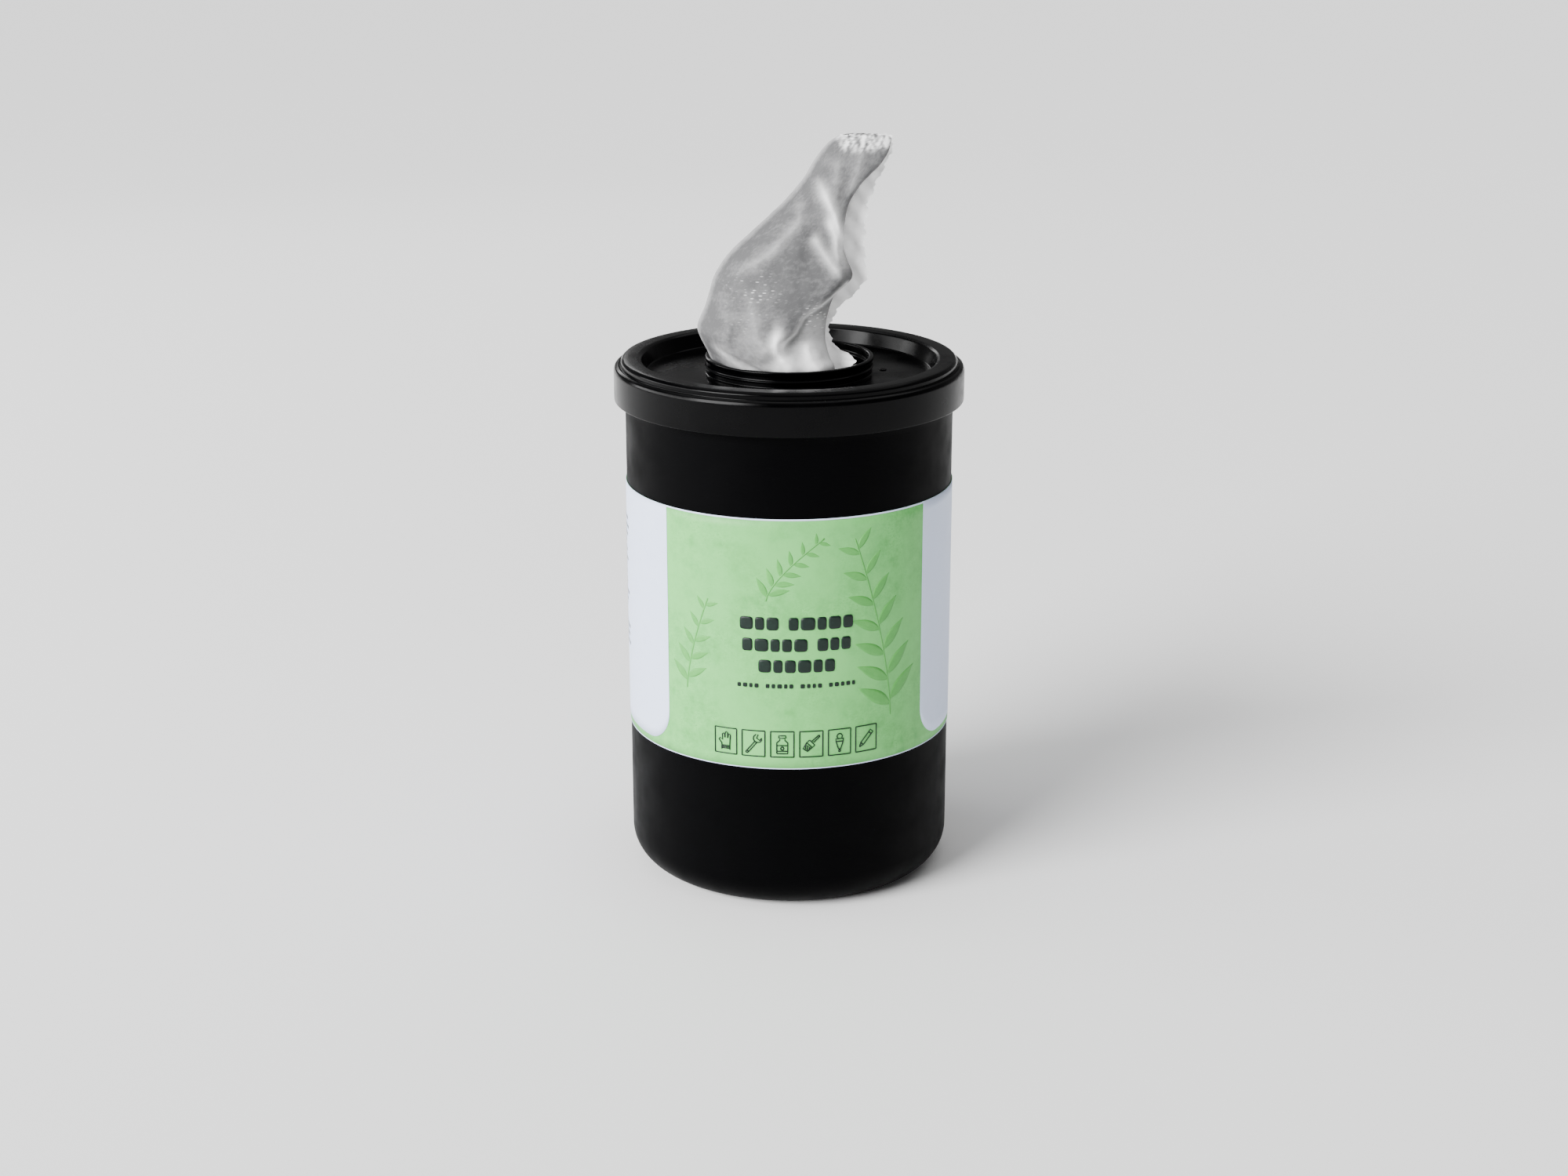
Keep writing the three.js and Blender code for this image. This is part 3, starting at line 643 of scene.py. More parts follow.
# %% Heading blocks
PRINT_MIDDLE = 2.6
HEADING = [
    # block widths with the gaps between words as negative numbers, height, middle above the foot
    ([4.6, 3.2, 4.2, -1.9, 3.4, 5.0, 3.2, 4.4, 3.6], 4.6, 53.0),
    ([3.6, 4.8, 3.2, 3.4, 4.6, -1.9, 3.8, 3.2, 3.4], 4.6, 45.3),
    ([4.4, 3.2, 3.8, 4.6, 3.2, 3.6], 4.6, 37.7),
    ([1.2, 1.5, 1.1, 1.4, -1.0, 1.3, 1.2, 1.6, 1.1, 1.3, -1.0, 1.5, 1.2, 1.1, 1.4, -1.0, 1.3, 1.5,
      1.2, 1.4, 1.1], 1.5, 30.5),
]
BLOCK_GAP = 0.75


def block(middle_x, middle_y, width, height):
    """A rounded block: a disc grid pushed out to |x|^5 + |y|^5 = 1 and scaled to size."""
    ring = np.linspace(0.3, 1, 3)[:, None]
    angle = 2 * np.pi * np.arange(24)[None, :] / 24
    c, s = np.cos(angle), np.sin(angle)
    reach = (np.abs(c) ** 5 + np.abs(s) ** 5) ** -0.2
    x = middle_x + width / 2 * ring * reach * c
    y = middle_y + height / 2 * ring * reach * s
    return x, y


def block_skin(x, y, layer, middle):
    """A block's face, its rim down to the film, and its back."""
    rows, columns = x.shape
    face = bend(np.stack([x, y, 0 * x + 0.05], -1), layer, middle).reshape(-1, 3)
    foot = bend(np.stack([x[-1], y[-1], 0 * x[-1] - 0.15], -1), layer, middle)
    centre = [x[0].mean(), y[0].mean()]
    middles = bend(np.array([[*centre, 0.05], [*centre, -0.15]]), layer, middle)
    points = np.vstack([face, foot, middles])
    first, base = (rows - 1) * columns, rows * columns
    i = np.arange(columns)
    k = (i + 1) % columns
    rim = np.stack([first + i, base + i, base + k, first + k], -1)
    front = np.stack([i, k, np.full(columns, base + columns)], -1)
    back = np.stack([base + i, base + k, np.full(columns, base + columns + 1)], -1)
    rings = grid_faces(rows, columns, False, True)
    return points, rings.tolist() + rim.tolist() + front.tolist() + back.tolist()


def heading_row(widths, height, middle_y):
    """Blocks side by side, centred on the print's middle."""
    total = sum(abs(w) for w in widths) + BLOCK_GAP * (len(widths) - 1)
    x, parts = -total / 2, []
    for width in widths:
        if width > 0:
            parts.append(block_skin(*block(x + width / 2, middle_y, width, height),
                                    PRINT_LAYER, PRINT_MIDDLE))
        x += abs(width) + BLOCK_GAP
    return join(parts)


for row, (widths, height, middle_y) in enumerate(HEADING, 1):
    row_piece = make_piece(f"heading_{row}", *heading_row(widths, height, middle_y))
    finish_piece(row_piece, "tub", print_dark, [f"label_bar_{row}"])

# %% [markdown]
# The white panels hold small print: rows of tiny grey blocks. At this size a block is a plain
# four-sided skin. The seeded widths give each row its own rhythm.

# %% Small print
SMALL_PRINT = [
    # azimuth of the column's middle, width, lowest and highest row above the label's foot
    (-98.0, 42.0, 30.0, 80.0), (-140.0, 26.0, 20.0, 80.0), (112.0, 38.0, 20.0, 80.0),
]
SMALL_ROW, SMALL_HEIGHT, SMALL_GAP = 3.1, 1.15, 0.9
small_rng = np.random.default_rng(3)


def small_print(azimuth, width, low, high):
    """A column of rows of blocks, ragged on the right."""
    parts = []
    for y in np.arange(low, high, SMALL_ROW):
        x = -width / 2
        limit = width / 2 - small_rng.uniform(0, 0.3) * width
        while x < limit:
            word = small_rng.uniform(1.6, 5.2)
            px = np.linspace(x, min(x + word, width / 2), 4)[None, :] + np.zeros((2, 1))
            py = np.array([[y], [y + SMALL_HEIGHT]]) + 0 * px
            parts.append(skin(px, py, SMALL_LAYER, azimuth, 0.03))
            x += word + SMALL_GAP
    return join(parts)


print_grey = film("print_grey", rgb(110, 116, 126), rgb(132, 138, 148), 1.0, (900.0, 200.0))
for number, column in enumerate(SMALL_PRINT, 1):
    column_piece = make_piece(f"small_print_{number}", *small_print(*column))
    finish_piece(column_piece, "tub", print_grey)

# %% [markdown]
# Line drawings. A pen line is a ribbon: its centre line is a list of points, and each point is
# moved half the width to both sides along the normal of the line. Six square frames hold a
# glove, a spanner, a bottle, a brush, a dropper and a pen, each drawn from a few strokes.

# %% Pictograms
FRAME_WIDTH, FRAME_HEIGHT = 8.1, 9.4
PICTOGRAM_PITCH = 9.9
PICTOGRAM_Y = 9.2
PEN = 0.42


def ribbon(points, width, layer, middle):
    """A flat line of even width along points, bent onto the film. Long stretches get points in
    between, so that they bend with it."""
    points = np.array(points, dtype=float)
    step = np.diff(points, axis=0)
    pieces = np.maximum((np.linalg.norm(step, axis=1) / 1.2).astype(int), 1)
    fine = [p + d * np.arange(n)[:, None] / n for p, d, n in zip(points, step, pieces)]
    line = np.vstack(fine + [points[-1:]])
    ahead = np.gradient(line, axis=0)
    ahead /= np.linalg.norm(ahead, axis=1)[:, None] + 1e-9
    normal = np.stack([-ahead[:, 1], ahead[:, 0]], 1) * width / 2
    x = np.stack([line[:, 0] + normal[:, 0], line[:, 0] - normal[:, 0]])
    y = np.stack([line[:, 1] + normal[:, 1], line[:, 1] - normal[:, 1]])
    return skin(x, y, layer, middle, 0.05)


def circle(x, y, radius, start=0, end=360, count=16):
    """Points of a circle, or of the part of it between two angles in degrees."""
    angle = np.radians(np.linspace(start, end, count))
    return [[x + radius * math.cos(a), y + radius * math.sin(a)] for a in angle]


DRAWINGS = {
    "glove": [
        [[-1.5, -3.4], [-1.5, -1.2], [-2.6, 0.2], [-2.2, 0.8], [-1.2, 0.1], [-1.3, 2.2],
         [-0.8, 2.6], [-0.4, 2.1], [-0.3, 0.9], [-0.2, 2.9], [0.3, 3.2], [0.7, 2.8], [0.7, 0.9],
         [1.0, 2.3], [1.5, 2.4], [1.7, 1.9], [1.5, -1.2], [1.5, -3.4]],
        [[-1.5, -1.9], [1.5, -1.9]], [[-1.5, -2.4], [1.5, -2.4]], [[-1.5, -2.9], [1.5, -2.9]],
    ],
    "spanner": [
        [[-2.6, -3.0], [0.6, 0.9]], [[-1.9, -3.4], [1.2, 0.4]],
        circle(-2.3, -3.2, 0.4), circle(1.5, 1.9, 1.5, 80, 380, 20)[2:-2],
        [[1.7, 3.3], [1.1, 2.0], [2.2, 1.2], [3.0, 2.1]],
    ],
    "bottle": [
        [[-1.9, -3.4], [-1.9, 0.6], [-0.9, 1.5], [-0.9, 2.3], [0.9, 2.3], [0.9, 1.5], [1.9, 0.6],
         [1.9, -3.4], [-1.9, -3.4]],
        [[-1.2, 2.3], [-1.2, 3.2], [1.2, 3.2], [1.2, 2.3]],
        [[-1.9, -2.5], [1.9, -2.5]], [[-1.9, -0.4], [1.9, -0.4]],
        circle(0, -1.5, 0.55),
    ],
    "brush": [
        [[2.7, 3.2], [3.0, 2.7], [0.9, 0.6], [0.3, 1.2], [2.7, 3.2]],
        [[-0.6, 1.5], [1.2, -0.4], [0.3, -1.3], [-1.6, 0.6], [-0.6, 1.5]],
        [[-1.6, 0.6], [-2.9, -1.6], [-1.4, -2.7], [0.3, -1.3]],
        [[-1.9, -0.2], [-2.1, -1.9]], [[-1.2, -0.4], [-1.5, -2.3]], [[-0.5, -1.0], [-0.8, -2.2]],
    ],
    "dropper": [
        [[-0.4, -2.6], [-1.3, 0.2], [-1.4, 1.2], [1.4, 1.2], [1.3, 0.2], [0.4, -2.6], [-0.4, -2.6]],
        circle(0, 2.1, 0.95, -40, 220), [[-1.2, 0.2], [1.2, 0.2]],
        circle(0, -3.3, 0.35),
    ],
    "pen": [
        [[-2.6, -2.9], [-2.1, -1.4], [1.7, 2.9], [2.7, 2.0], [-1.1, -2.3], [-2.6, -2.9]],
        [[-2.1, -1.4], [-1.1, -2.3]], [[1.0, 2.1], [2.0, 1.2]],
    ],
}


def pictogram(strokes, middle):
    """A frame and its strokes, bent onto the film as closed skins."""
    w, h = FRAME_WIDTH / 2, FRAME_HEIGHT / 2
    border = [[-w, -h], [w, -h], [w, h], [-w, h]]
    sides = [[border[k], border[(k + 1) % 4]] for k in range(4)]
    lifted = [[[px, py + PICTOGRAM_Y] for px, py in stroke] for stroke in sides + strokes]
    return join([ribbon(stroke, PEN, PRINT_LAYER, middle) for stroke in lifted])


for order, (name, strokes) in enumerate(DRAWINGS.items()):
    middle = PRINT_MIDDLE + PICTOGRAM_PITCH * (order - (len(DRAWINGS) - 1) / 2)
    drawing = make_piece(f"drawing_{name}", *pictogram(strokes, middle))
    finish_piece(drawing, "tub", print_dark, [f"pictogram_{name}"])

# %% [markdown]
# A generic sprig of leaves in a tone a little darker than the field. A leaf is a grid from stalk
# to tip: its half width is w * sin(pi * s^0.8), and its middle line curves up a little.

# %% Sprigs
SPRIGS = [
    # azimuth, foot, height, lean, leaf length, pairs of leaves
    (30.0, 16.0, 66.0, 15.0, 16.0, 7),
    (-33.0, 26.0, 34.0, -9.0, 9.5, 5),
    (2.0, 61.0, 22.0, -20.0, 8.0, 6),
]
STEM_WIDTH = 0.5
LEAF_SLIMNESS = 0.3  # width as a share of the length
LEAF_RISE = 0.75  # radians from square to the stem


def leaf(x, y, side, length, width, rise, tilt):
    """One leaf as a flat grid of x and y, turned with the stem by the angle tilt."""
    s = np.linspace(0.0, 1.0, 13)[:, None]
    t = np.linspace(-1, 1, 5)[None, :]
    half = width / 2 * np.sin(np.pi * np.clip(s, 0.004, 0.996) ** 0.8)
    droop = -0.10 * length * s**2
    along, across = length * s + 0 * t, half * t + droop
    out = side * (along * math.cos(rise) - across * math.sin(rise))
    up = along * math.sin(rise) + across * math.cos(rise)
    px = x + out * math.cos(tilt) + up * math.sin(tilt)
    py = y - out * math.sin(tilt) + up * math.cos(tilt)
    return px, py


def sprig(azimuth, foot, height, lean, leaf_length, pairs):
    """A stem with pairs of leaves that get smaller towards the tip."""
    def along(share):
        return lean * (0.5 - share**1.5), foot + height * share

    stem = [along(share) for share in np.linspace(0, 1, 16)]
    parts = [ribbon(stem, STEM_WIDTH, STEM_LAYER, azimuth)]
    for pair in range(pairs):
        share = (pair + 0.5) / pairs
        size = 1 - 0.5 * share
        for side in (-1, 1):
            x, y = along(share + 0.1 * side / pairs)
            ahead_x, ahead_y = along(share + 0.05)
            tilt = math.atan2(ahead_x - along(share)[0], ahead_y - along(share)[1])
            long = leaf_length * size
            px, py = leaf(x, y, side, long, LEAF_SLIMNESS * long, LEAF_RISE, tilt)
            parts.append(skin(px, py, LEAF_LAYER, azimuth, 0.04))
    return join(parts)


sprig_piece = make_piece("sprigs", *join([sprig(*numbers) for numbers in SPRIGS]))
finish_piece(sprig_piece, "tub", sprig_green, ["label_sprig"])

# %% [markdown]
# The roll of wipes is one web wound on itself. It is a band with a rectangular section that
# follows a spiral: the radius grows by one pitch in each turn, and the top edge of each turn
# stands a little higher or lower than its neighbour, as a real roll's does.

# %% Roll
CORE_RADIUS, ROLL_TURNS, TURN_STEPS, TURN_GAP = 20.0, 46, 64, 0.12


def roll():
    """The spiral band as a closed tube of four corners: r = core + pitch * turn."""
    outer = span("wipe_roll", 0)[1]
    pitch = (outer - CORE_RADIUS) / (ROLL_TURNS + 1)
    turn_number = np.arange(ROLL_TURNS * TURN_STEPS + 1) / TURN_STEPS
    angle = 2 * np.pi * turn_number
    r = CORE_RADIUS + pitch * turn_number
    sway = 0.35 * np.sin(2.3 * turn_number) + 0.2 * np.sin(7.9 * turn_number + 1.0)
    high = roll_top - 0.6 + sway
    low = roll_foot + 0 * r
    outside = r + pitch - TURN_GAP
    section = [(r, low), (outside, low), (outside, high), (r, high)]
    corners = [np.stack([q * np.cos(angle), q * np.sin(angle), z], -1) for q, z in section]
    points = np.stack(corners, 1)
    rows = len(points)
    first, last = [3, 2, 1, 0], [4 * rows - 4, 4 * rows - 3, 4 * rows - 2, 4 * rows - 1]
    return points, grid_faces(rows, 4, False, True).tolist() + [first, last]


def roll_cloth():
    """White nonwoven seen in layers: fine fibres and slow stains of wetness."""
    finish = Finish("roll_cloth", Metallic=0.0, Roughness=0.85, Specular_IOR_Level=0.25)
    wet = finish.span(finish.noise(45.0, 4.0), 0.35, 0.7)
    finish.link(finish.mix(wet, rgb(226, 227, 228), rgb(198, 200, 203)),
                finish.shader.inputs["Base Color"])
    finish.bump(finish.noise(1500.0, 4.0, 0.6, (1, 1, 0.2)), 0.08, 0.6)
    return finish.material


roll_piece = make_piece("roll_of_wipes", *roll())
roll_piece.data.polygons.foreach_set("use_smooth", np.zeros(len(roll_piece.data.polygons), bool))
finish_piece(roll_piece, "tub", roll_cloth(), ["wipe_roll"])

# %% [markdown]
# The first wipe is a sheet of 172.5 by 300 mm. One way to fold it would be a simulation, but the
# folds in the orifice are far finer than a cloth solver likes, so we carry a line across the
# sheet along its length instead. The line is the plan of the gathered sheet: it starts at a free
# edge on the right, runs behind, round the left side and across the front, and tucks in.

# %% The wipe's rows
SHEET_WIDTH, SHEET_LENGTH = 172.5, 300.0
ROWS_IN_COLLAR = [
    # share of the collar's depth below the lip, then left, right, front and back reach as shares
    # of the collar's inner radius
    [0.82, -0.22, 0.22, -0.22, 0.22],
    [0.57, -0.52, 0.45, -0.5, 0.45],
    [0.19, -0.88, 0.62, -0.86, 0.6],
]
ROWS_ABOVE = [
    # millimetres above the lip, then the same reaches
    [3, -1.01, 0.55, -0.91, 0.64],
    [10, -1.13, 0.49, -0.84, 0.66],
    [18, -1.04, 0.6, -0.74, 0.64],
    [22.5, -0.99, 0.77, -0.67, 0.63],
    [27.5, -0.94, 0.945, -0.61, 0.6],
    [36, -0.74, 0.93, -0.52, 0.54],
    [44.7, -0.415, 0.93, -0.43, 0.45],
    [53.5, -0.08, 0.97, -0.34, 0.36],
    [62, 0.18, 1.09, -0.25, 0.27],
    [70.5, 0.365, 1.24, -0.165, 0.17],
    [74.6, 0.495, 1.27, -0.115, 0.12],
    [76.3, 0.58, 1.27, -0.095, 0.10],
    [77.2, 0.62, 1.235, -0.085, 0.09],
]


def smooth_through(at, knots, values):
    """Cubic Hermite through the knots, with slopes from neighbours, for several columns."""
    knots, values = np.asarray(knots, float), np.asarray(values, float)
    slope = np.gradient(values, knots, axis=0)
    k = np.clip(np.searchsorted(knots, at) - 1, 0, len(knots) - 2)
    width = (knots[k + 1] - knots[k])[:, None]
    t = ((at - knots[k])[:, None]) / width
    a, b = values[k], values[k + 1]
    ma, mb = slope[k] * width, slope[k + 1] * width
    return ((2 * t**3 - 3 * t**2 + 1) * a + (t**3 - 2 * t**2 + t) * ma
            + (-2 * t**3 + 3 * t**2) * b + (t**3 - t**2) * mb)


row_table = [[-share * COLLAR_DEPTH, *rest] for share, *rest in ROWS_IN_COLLAR] + ROWS_ABOVE
row_heights = [row[0] for row in row_table]
BODY_ROWS = 160
body_heights = np.linspace(row_heights[0], row_heights[-1], BODY_ROWS)
body_reach = smooth_through(body_heights, row_heights, [row[1:] for row in row_table]) * LIP_INNER
print("rows above the orifice:", BODY_ROWS)

# %% [markdown]
# The plan line in a unit square: -1 to 1 from left to right and from front to back. The front
# layer's right-hand fold lies at a share of the width that changes with height, so that the
# back layer shows beside it, as a lighter strip.

# %% The plan line
PLAN = [
    # the white strip on the right, from its free edge inwards, and back out behind
    [1.00, -0.42], [0.82, -0.36], [0.60, -0.24], [0.50, -0.08], [0.66, 0.06], [0.90, 0.20],
    # behind, round the left side and across the front to its right-hand fold
    [0.86, 0.60], [0.45, 0.94], [-0.10, 1.00], [-0.62, 0.80], [-0.94, 0.34], [-0.97, -0.22],
    [-0.72, -0.70], [-0.25, -0.96], [0.30, -0.95], [0.66, -0.82], [0.80, -0.62],
    # the layers inside, which only fill it
    [0.62, -0.46], [0.20, -0.40], [-0.30, -0.42], [-0.60, -0.12], [-0.36, 0.10], [0.08, 0.06],
    [0.34, 0.22], [0.42, 0.46], [0.14, 0.58], [-0.30, 0.50],
]
FOLD_SHARE = 0.80
FOLD_EDGE = [
    # height above the lip, share of the half width where the front layer folds under
    [-9, 0.8], [3, 0.9], [18, 0.85], [23, 0.72], [31, 0.79], [40, 0.66], [49, 0.56], [57, 0.52],
    [62, 0.62], [66, 0.80], [72, 0.93], [77.2, 0.95],
]
ACROSS = 300
across = np.linspace(0, 1, ACROSS)
plan_points = np.array(PLAN)
plan_steps = np.concatenate([[0], np.cumsum(np.linalg.norm(np.diff(plan_points, axis=0), axis=1))])
plan_share = plan_steps / plan_steps[-1]
plan_line = smooth_through(across, plan_share, plan_points)
STRIP_END, LEFT_TURN, FRONT_MIDDLE, RIGHT_FOLD = plan_share[[3, 10, 13, 16]]
from_left, from_right = (across - LEFT_TURN) / 0.05, (RIGHT_FOLD + 0.01 - across) / 0.02
front_layer = np.clip(np.minimum(from_left, from_right), 0, 1)
FLAP_REACH, FLAP_HEIGHT, RAGGED = 6.0, 1.0, 0.4
print("plan line:", ACROSS, "points, length", round(float(plan_steps[-1]), 2))


def sheet_body():
    """Rows of the stretch above the orifice: middle plus half size times the plan line. The free
    edge on the right is ragged, and just above the lip it sticks out as a flap."""
    left, right, front, back = body_reach.T[:, :, None]
    fold = smooth_through(body_heights, *zip(*[(h, [s]) for h, s in FOLD_EDGE]))
    a, b = plan_line[:, 0][None, :], plan_line[:, 1][None, :]
    past = (across[None, :] - FRONT_MIDDLE) / (RIGHT_FOLD - FRONT_MIDDLE)
    strip = np.clip(1 - across[None, :] / STRIP_END, 0, 1)
    squeeze = 1 + (fold / FOLD_SHARE - 1) * np.clip(past, 0, 1)
    a = np.where(a > 0, a * squeeze, a)
    x = (left + right) / 2 + (right - left) / 2 * a
    y = (front + back) / 2 + (back - front) / 2 * b
    flap = np.exp(-(((body_heights[:, None] - FLAP_HEIGHT) / 4.5) ** 2))
    ragged = np.sin(0.9 * body_heights) + 0.7 * np.sin(2.3 * body_heights + 1)
    ragged += 0.5 * np.sin(4.1 * body_heights)
    x = x + strip * (FLAP_REACH * flap + RAGGED * ragged[:, None])
    z = lip_top + body_heights[:, None] + 0 * x
    return np.stack([x, y, z], -1)


# %% [markdown]
# Folds. Each fold is a line across the front, with a height and a reach. A ridge adds
# h * exp(-(d / w)^1.2), where d is the distance from the line, so that it has a crisp crest and
# nearly flat sides. A lap adds a step instead: the cloth on one side stands proud and drops to
# the other within a short distance, h * (1 + tanh(d / w)) / 2. Both soften at their ends.

# %% Folds
RIDGES = [
    # points of x and height above the lip, height, reach to each side, share of painted highlight on
    # the crest
    ([[3.9, 62], [3.6, 49], [0.0, 45.0], [-5.8, 38.7], [-12, 34.6], [-22, 30]], 1.5, 4.5, 0.20),
    ([[8.6, 65], [12.4, 58], [15.6, 51.6], [17.7, 45.6], [20.1, 39.2], [20.8, 29]], 2.7, 2.6, 0.62),
    ([[7.6, 45.5], [12.3, 38.1], [19.7, 28.7]], 1.7, 2.4, 0.42),
    ([[12.5, 52], [16.0, 44], [17.2, 34]], 0.9, 1.5, 0.45),
    ([[-24, 28], [-21, 16], [-22, 6]], 1.3, 4.0, 0.03),
    ([[-14, 26], [-11, 12], [-5.5, 4]], 1.1, 4.0, 0.08),
    ([[-3.0, 15], [-4.6, 9], [-2.0, 4], [5, -2]], 2.1, 2.2, 0.66),
    ([[5, 10], [8, 3], [12, -3]], 1.4, 2.2, 0.40),
    ([[18, 74], [16, 62], [17, 50]], 0.9, 3.0, 0.08),
    ([[26, 75], [24, 66], [20, 56]], 0.9, 3.0, 0.10),
    ([[-28, 8], [-18, 1.5], [-7, -4]], 1.5, 2.2, 0.28),
]
LAPS = [
    # points from one end to the other: the cloth on the left of the line stands proud
    ([[-4.5, 7.0], [2, 12], [5, 17.2], [14.7, 23.3], [20, 28]], 2.4, 0.45),
    ([[20, 49], [22.6, 55], [24.5, 60.4], [31, 65]], 1.6, 0.4),
    ([[12, -4], [3, 2], [-3.3, 6.5]], 1.3, 0.6),
    ([[20.6, 30], [21.5, 38], [19.5, 46]], 0.8, 0.5),
    ([[-27, 8.5], [-19, 4.6], [-11, 1.0], [-4, -3]], 1.2, 0.35),
]
LAP_REACH = 9.0
LAP_BLUNTING = 5.0  # how much wider the step is at a lap's ends


def to_line(x, height, points):
    """Distance from a line of points, the offset square to its nearest stretch, positive on the
    left of its direction, and a taper that goes from 0 at the line's ends to 1 further in."""
    best = np.full(x.shape, 1e9)
    offset, share = np.zeros(x.shape), np.zeros(x.shape)
    for k, ((ax, ay), (bx, by)) in enumerate(zip(points[:-1], points[1:])):
        dx, dy = bx - ax, by - ay
        length = math.hypot(dx, dy)
        t = np.clip(((x - ax) * dx + (height - ay) * dy) / length**2, 0, 1)
        distance = np.hypot(x - ax - t * dx, height - ay - t * dy)
        nearer = distance < best
        best = np.where(nearer, distance, best)
        offset = np.where(nearer, (dx * (height - ay) - dy * (x - ax)) / length, offset)
        share = np.where(nearer, (k + t) / (len(points) - 1), share)
    taper = np.clip(np.minimum(share, 1 - share) / 0.25, 0, 1)
    return best, offset, taper * taper * (3 - 2 * taper)


def fold_relief(points):
    """How far each point of the front layer comes forward, in millimetres: all ridges and laps
    added up."""
    x, height = points[..., 0], points[..., 2] - lip_top
    relief = np.zeros(x.shape)
    for line, rise, width, _ in RIDGES:
        distance, _, taper = to_line(x, height, line)
        relief += rise * taper * np.exp(-((distance / width) ** 1.2))
    for line, rise, width in LAPS:
        distance, offset, taper = to_line(x, height, line)
        blunt = width * (1 + LAP_BLUNTING * (1 - taper))
        drop = 0.5 * (1 + np.tanh(offset / blunt))
        relief += rise * drop * np.exp(-((distance / LAP_REACH) ** 2))
    return relief


# %% [markdown]
# Small wrinkles and gathers. The wrinkles are a sum of sine waves with seeded directions, and
# the gathers are waves across the sheet that get deep where the sheet is squeezed together.

# %% Wrinkles and gathers
GATHERS = [
    # height above the lip, depth of the gathers in millimetres
    [-9, 1.1], [-4, 1.3], [3, 1.1], [15, 0.6], [30, 0.45], [60, 0.40], [77.2, 0.15],
]
BODY_PLEATS, TAIL_PLEATS = 13, 19
WRINKLE_FORWARD, WRINKLE_SIDEWAYS = 0.22, 0.10
TOP_ROWS = 70.0  # height from which the cut edge's waves grow
rng = np.random.default_rng(7)


def wrinkles(points, count=14, low=2.5, high=9.0):
    """A smooth random field: the mean of sines with seeded wave lengths and directions."""
    total = np.zeros(points.shape[:2])
    for _ in range(count):
        direction = rng.normal(size=3) * np.array([1.0, 0.8, 0.45])
        direction /= np.linalg.norm(direction)
        wave = rng.uniform(low, high)
        phase = points @ direction * (2 * np.pi / wave) + rng.uniform(0, 2 * np.pi)
        total += np.sin(phase + 0.8 * np.sin(phase * 0.37)) * wave / high
    return total / np.sqrt(count)


def gather(points, depth, pleats, phase):
    """Moves each row's points along the row's own normal by depth * sin(pleats * across)."""
    ahead = np.gradient(points, axis=1)
    normal = np.stack([ahead[..., 1], -ahead[..., 0]], -1)
    normal /= np.linalg.norm(normal, axis=-1, keepdims=True) + 1e-9
    wave = np.sin(2 * np.pi * pleats * across[None, :] + phase)
    wave += 0.35 * np.sin(2 * np.pi * (pleats * 0.62) * across[None, :] + 1.7 * phase + 1.0)
    moved = points.copy()
    moved[..., :2] += normal * (depth * wave)[..., None]
    return moved


body = sheet_body()
body_depth = np.interp(body_heights, *zip(*GATHERS))[:, None]
front_share = front_layer[None, :]
less_in_front = 1 - 0.55 * front_share
body = gather(body, body_depth * less_in_front, BODY_PLEATS, 0.02 * body_heights[:, None])
body[..., 1] -= fold_relief(body) * front_share
small = wrinkles(body)
body[..., 1] += WRINKLE_FORWARD * small * np.where(front_share > 0.5, -1, 1)
body[..., 0] += WRINKLE_SIDEWAYS * small
top_share = np.clip((body_heights[:, None] - TOP_ROWS) / (row_heights[-1] - TOP_ROWS), 0, 1)
body[..., 2] -= top_share * (0.15 + 0.15 * np.sin(40 * across[None, :]))
print("body rows:", body.shape)

# %% [markdown]
# Below the orifice the rest of the sheet hangs in the roll's core. It was twisted as it was
# drawn up, so its tail is a helix: the middle goes round by one turn in each 36 mm of drop.

# %% Tail and whole sheet
TAIL_RADIUS, TAIL_SWING, TAIL_LEAD, TAIL_START = 7.4, 7.0, 36.0, 14.0
TAIL_ROWS = 80
TAIL_TWIST = 0.55  # turns of the plan line for each turn of the helix
NECK_RADIUS = 4.6
GATHERED_SIZE, GATHERED_DEPTH = 0.75, 0.30  # shares of the tail's radius


def sheet_tail():
    """Rows from the tail's foot up to the orifice: the plan line scaled to the tail's radius,
    round a middle that follows a helix, with deep gathers."""
    drop = np.linspace(membrane_foot - tail_foot - 1.0, 0.0, TAIL_ROWS)[:, None]
    opened = np.clip(drop / TAIL_START, 0, 1)
    opened = opened * opened * (3 - 2 * opened)
    radius = NECK_RADIUS + (TAIL_RADIUS - NECK_RADIUS) * opened
    turned = 2 * np.pi * drop / TAIL_LEAD
    spin = TAIL_TWIST * turned
    a, b = plan_line[:, 0][None, :], plan_line[:, 1][None, :]
    u, v = a * np.cos(spin) - b * np.sin(spin), a * np.sin(spin) + b * np.cos(spin)
    swing, size = TAIL_SWING * opened, GATHERED_SIZE * radius
    points = np.stack([swing * np.sin(turned) + size * u, swing * np.cos(turned) + size * v,
                       membrane_foot - drop + 0 * u], -1)
    return gather(points, GATHERED_DEPTH * radius, TAIL_PLEATS, 0.12 * turned)


neck_line = GATHERED_SIZE * NECK_RADIUS * plan_line
neck = np.stack([neck_line[:, 0], neck_line[:, 1], 0 * across + membrane_top], -1)[None]
neck = gather(neck, GATHERED_DEPTH * NECK_RADIUS, TAIL_PLEATS, 0.0)
sheet_rows = np.concatenate([sheet_tail(), neck, body])


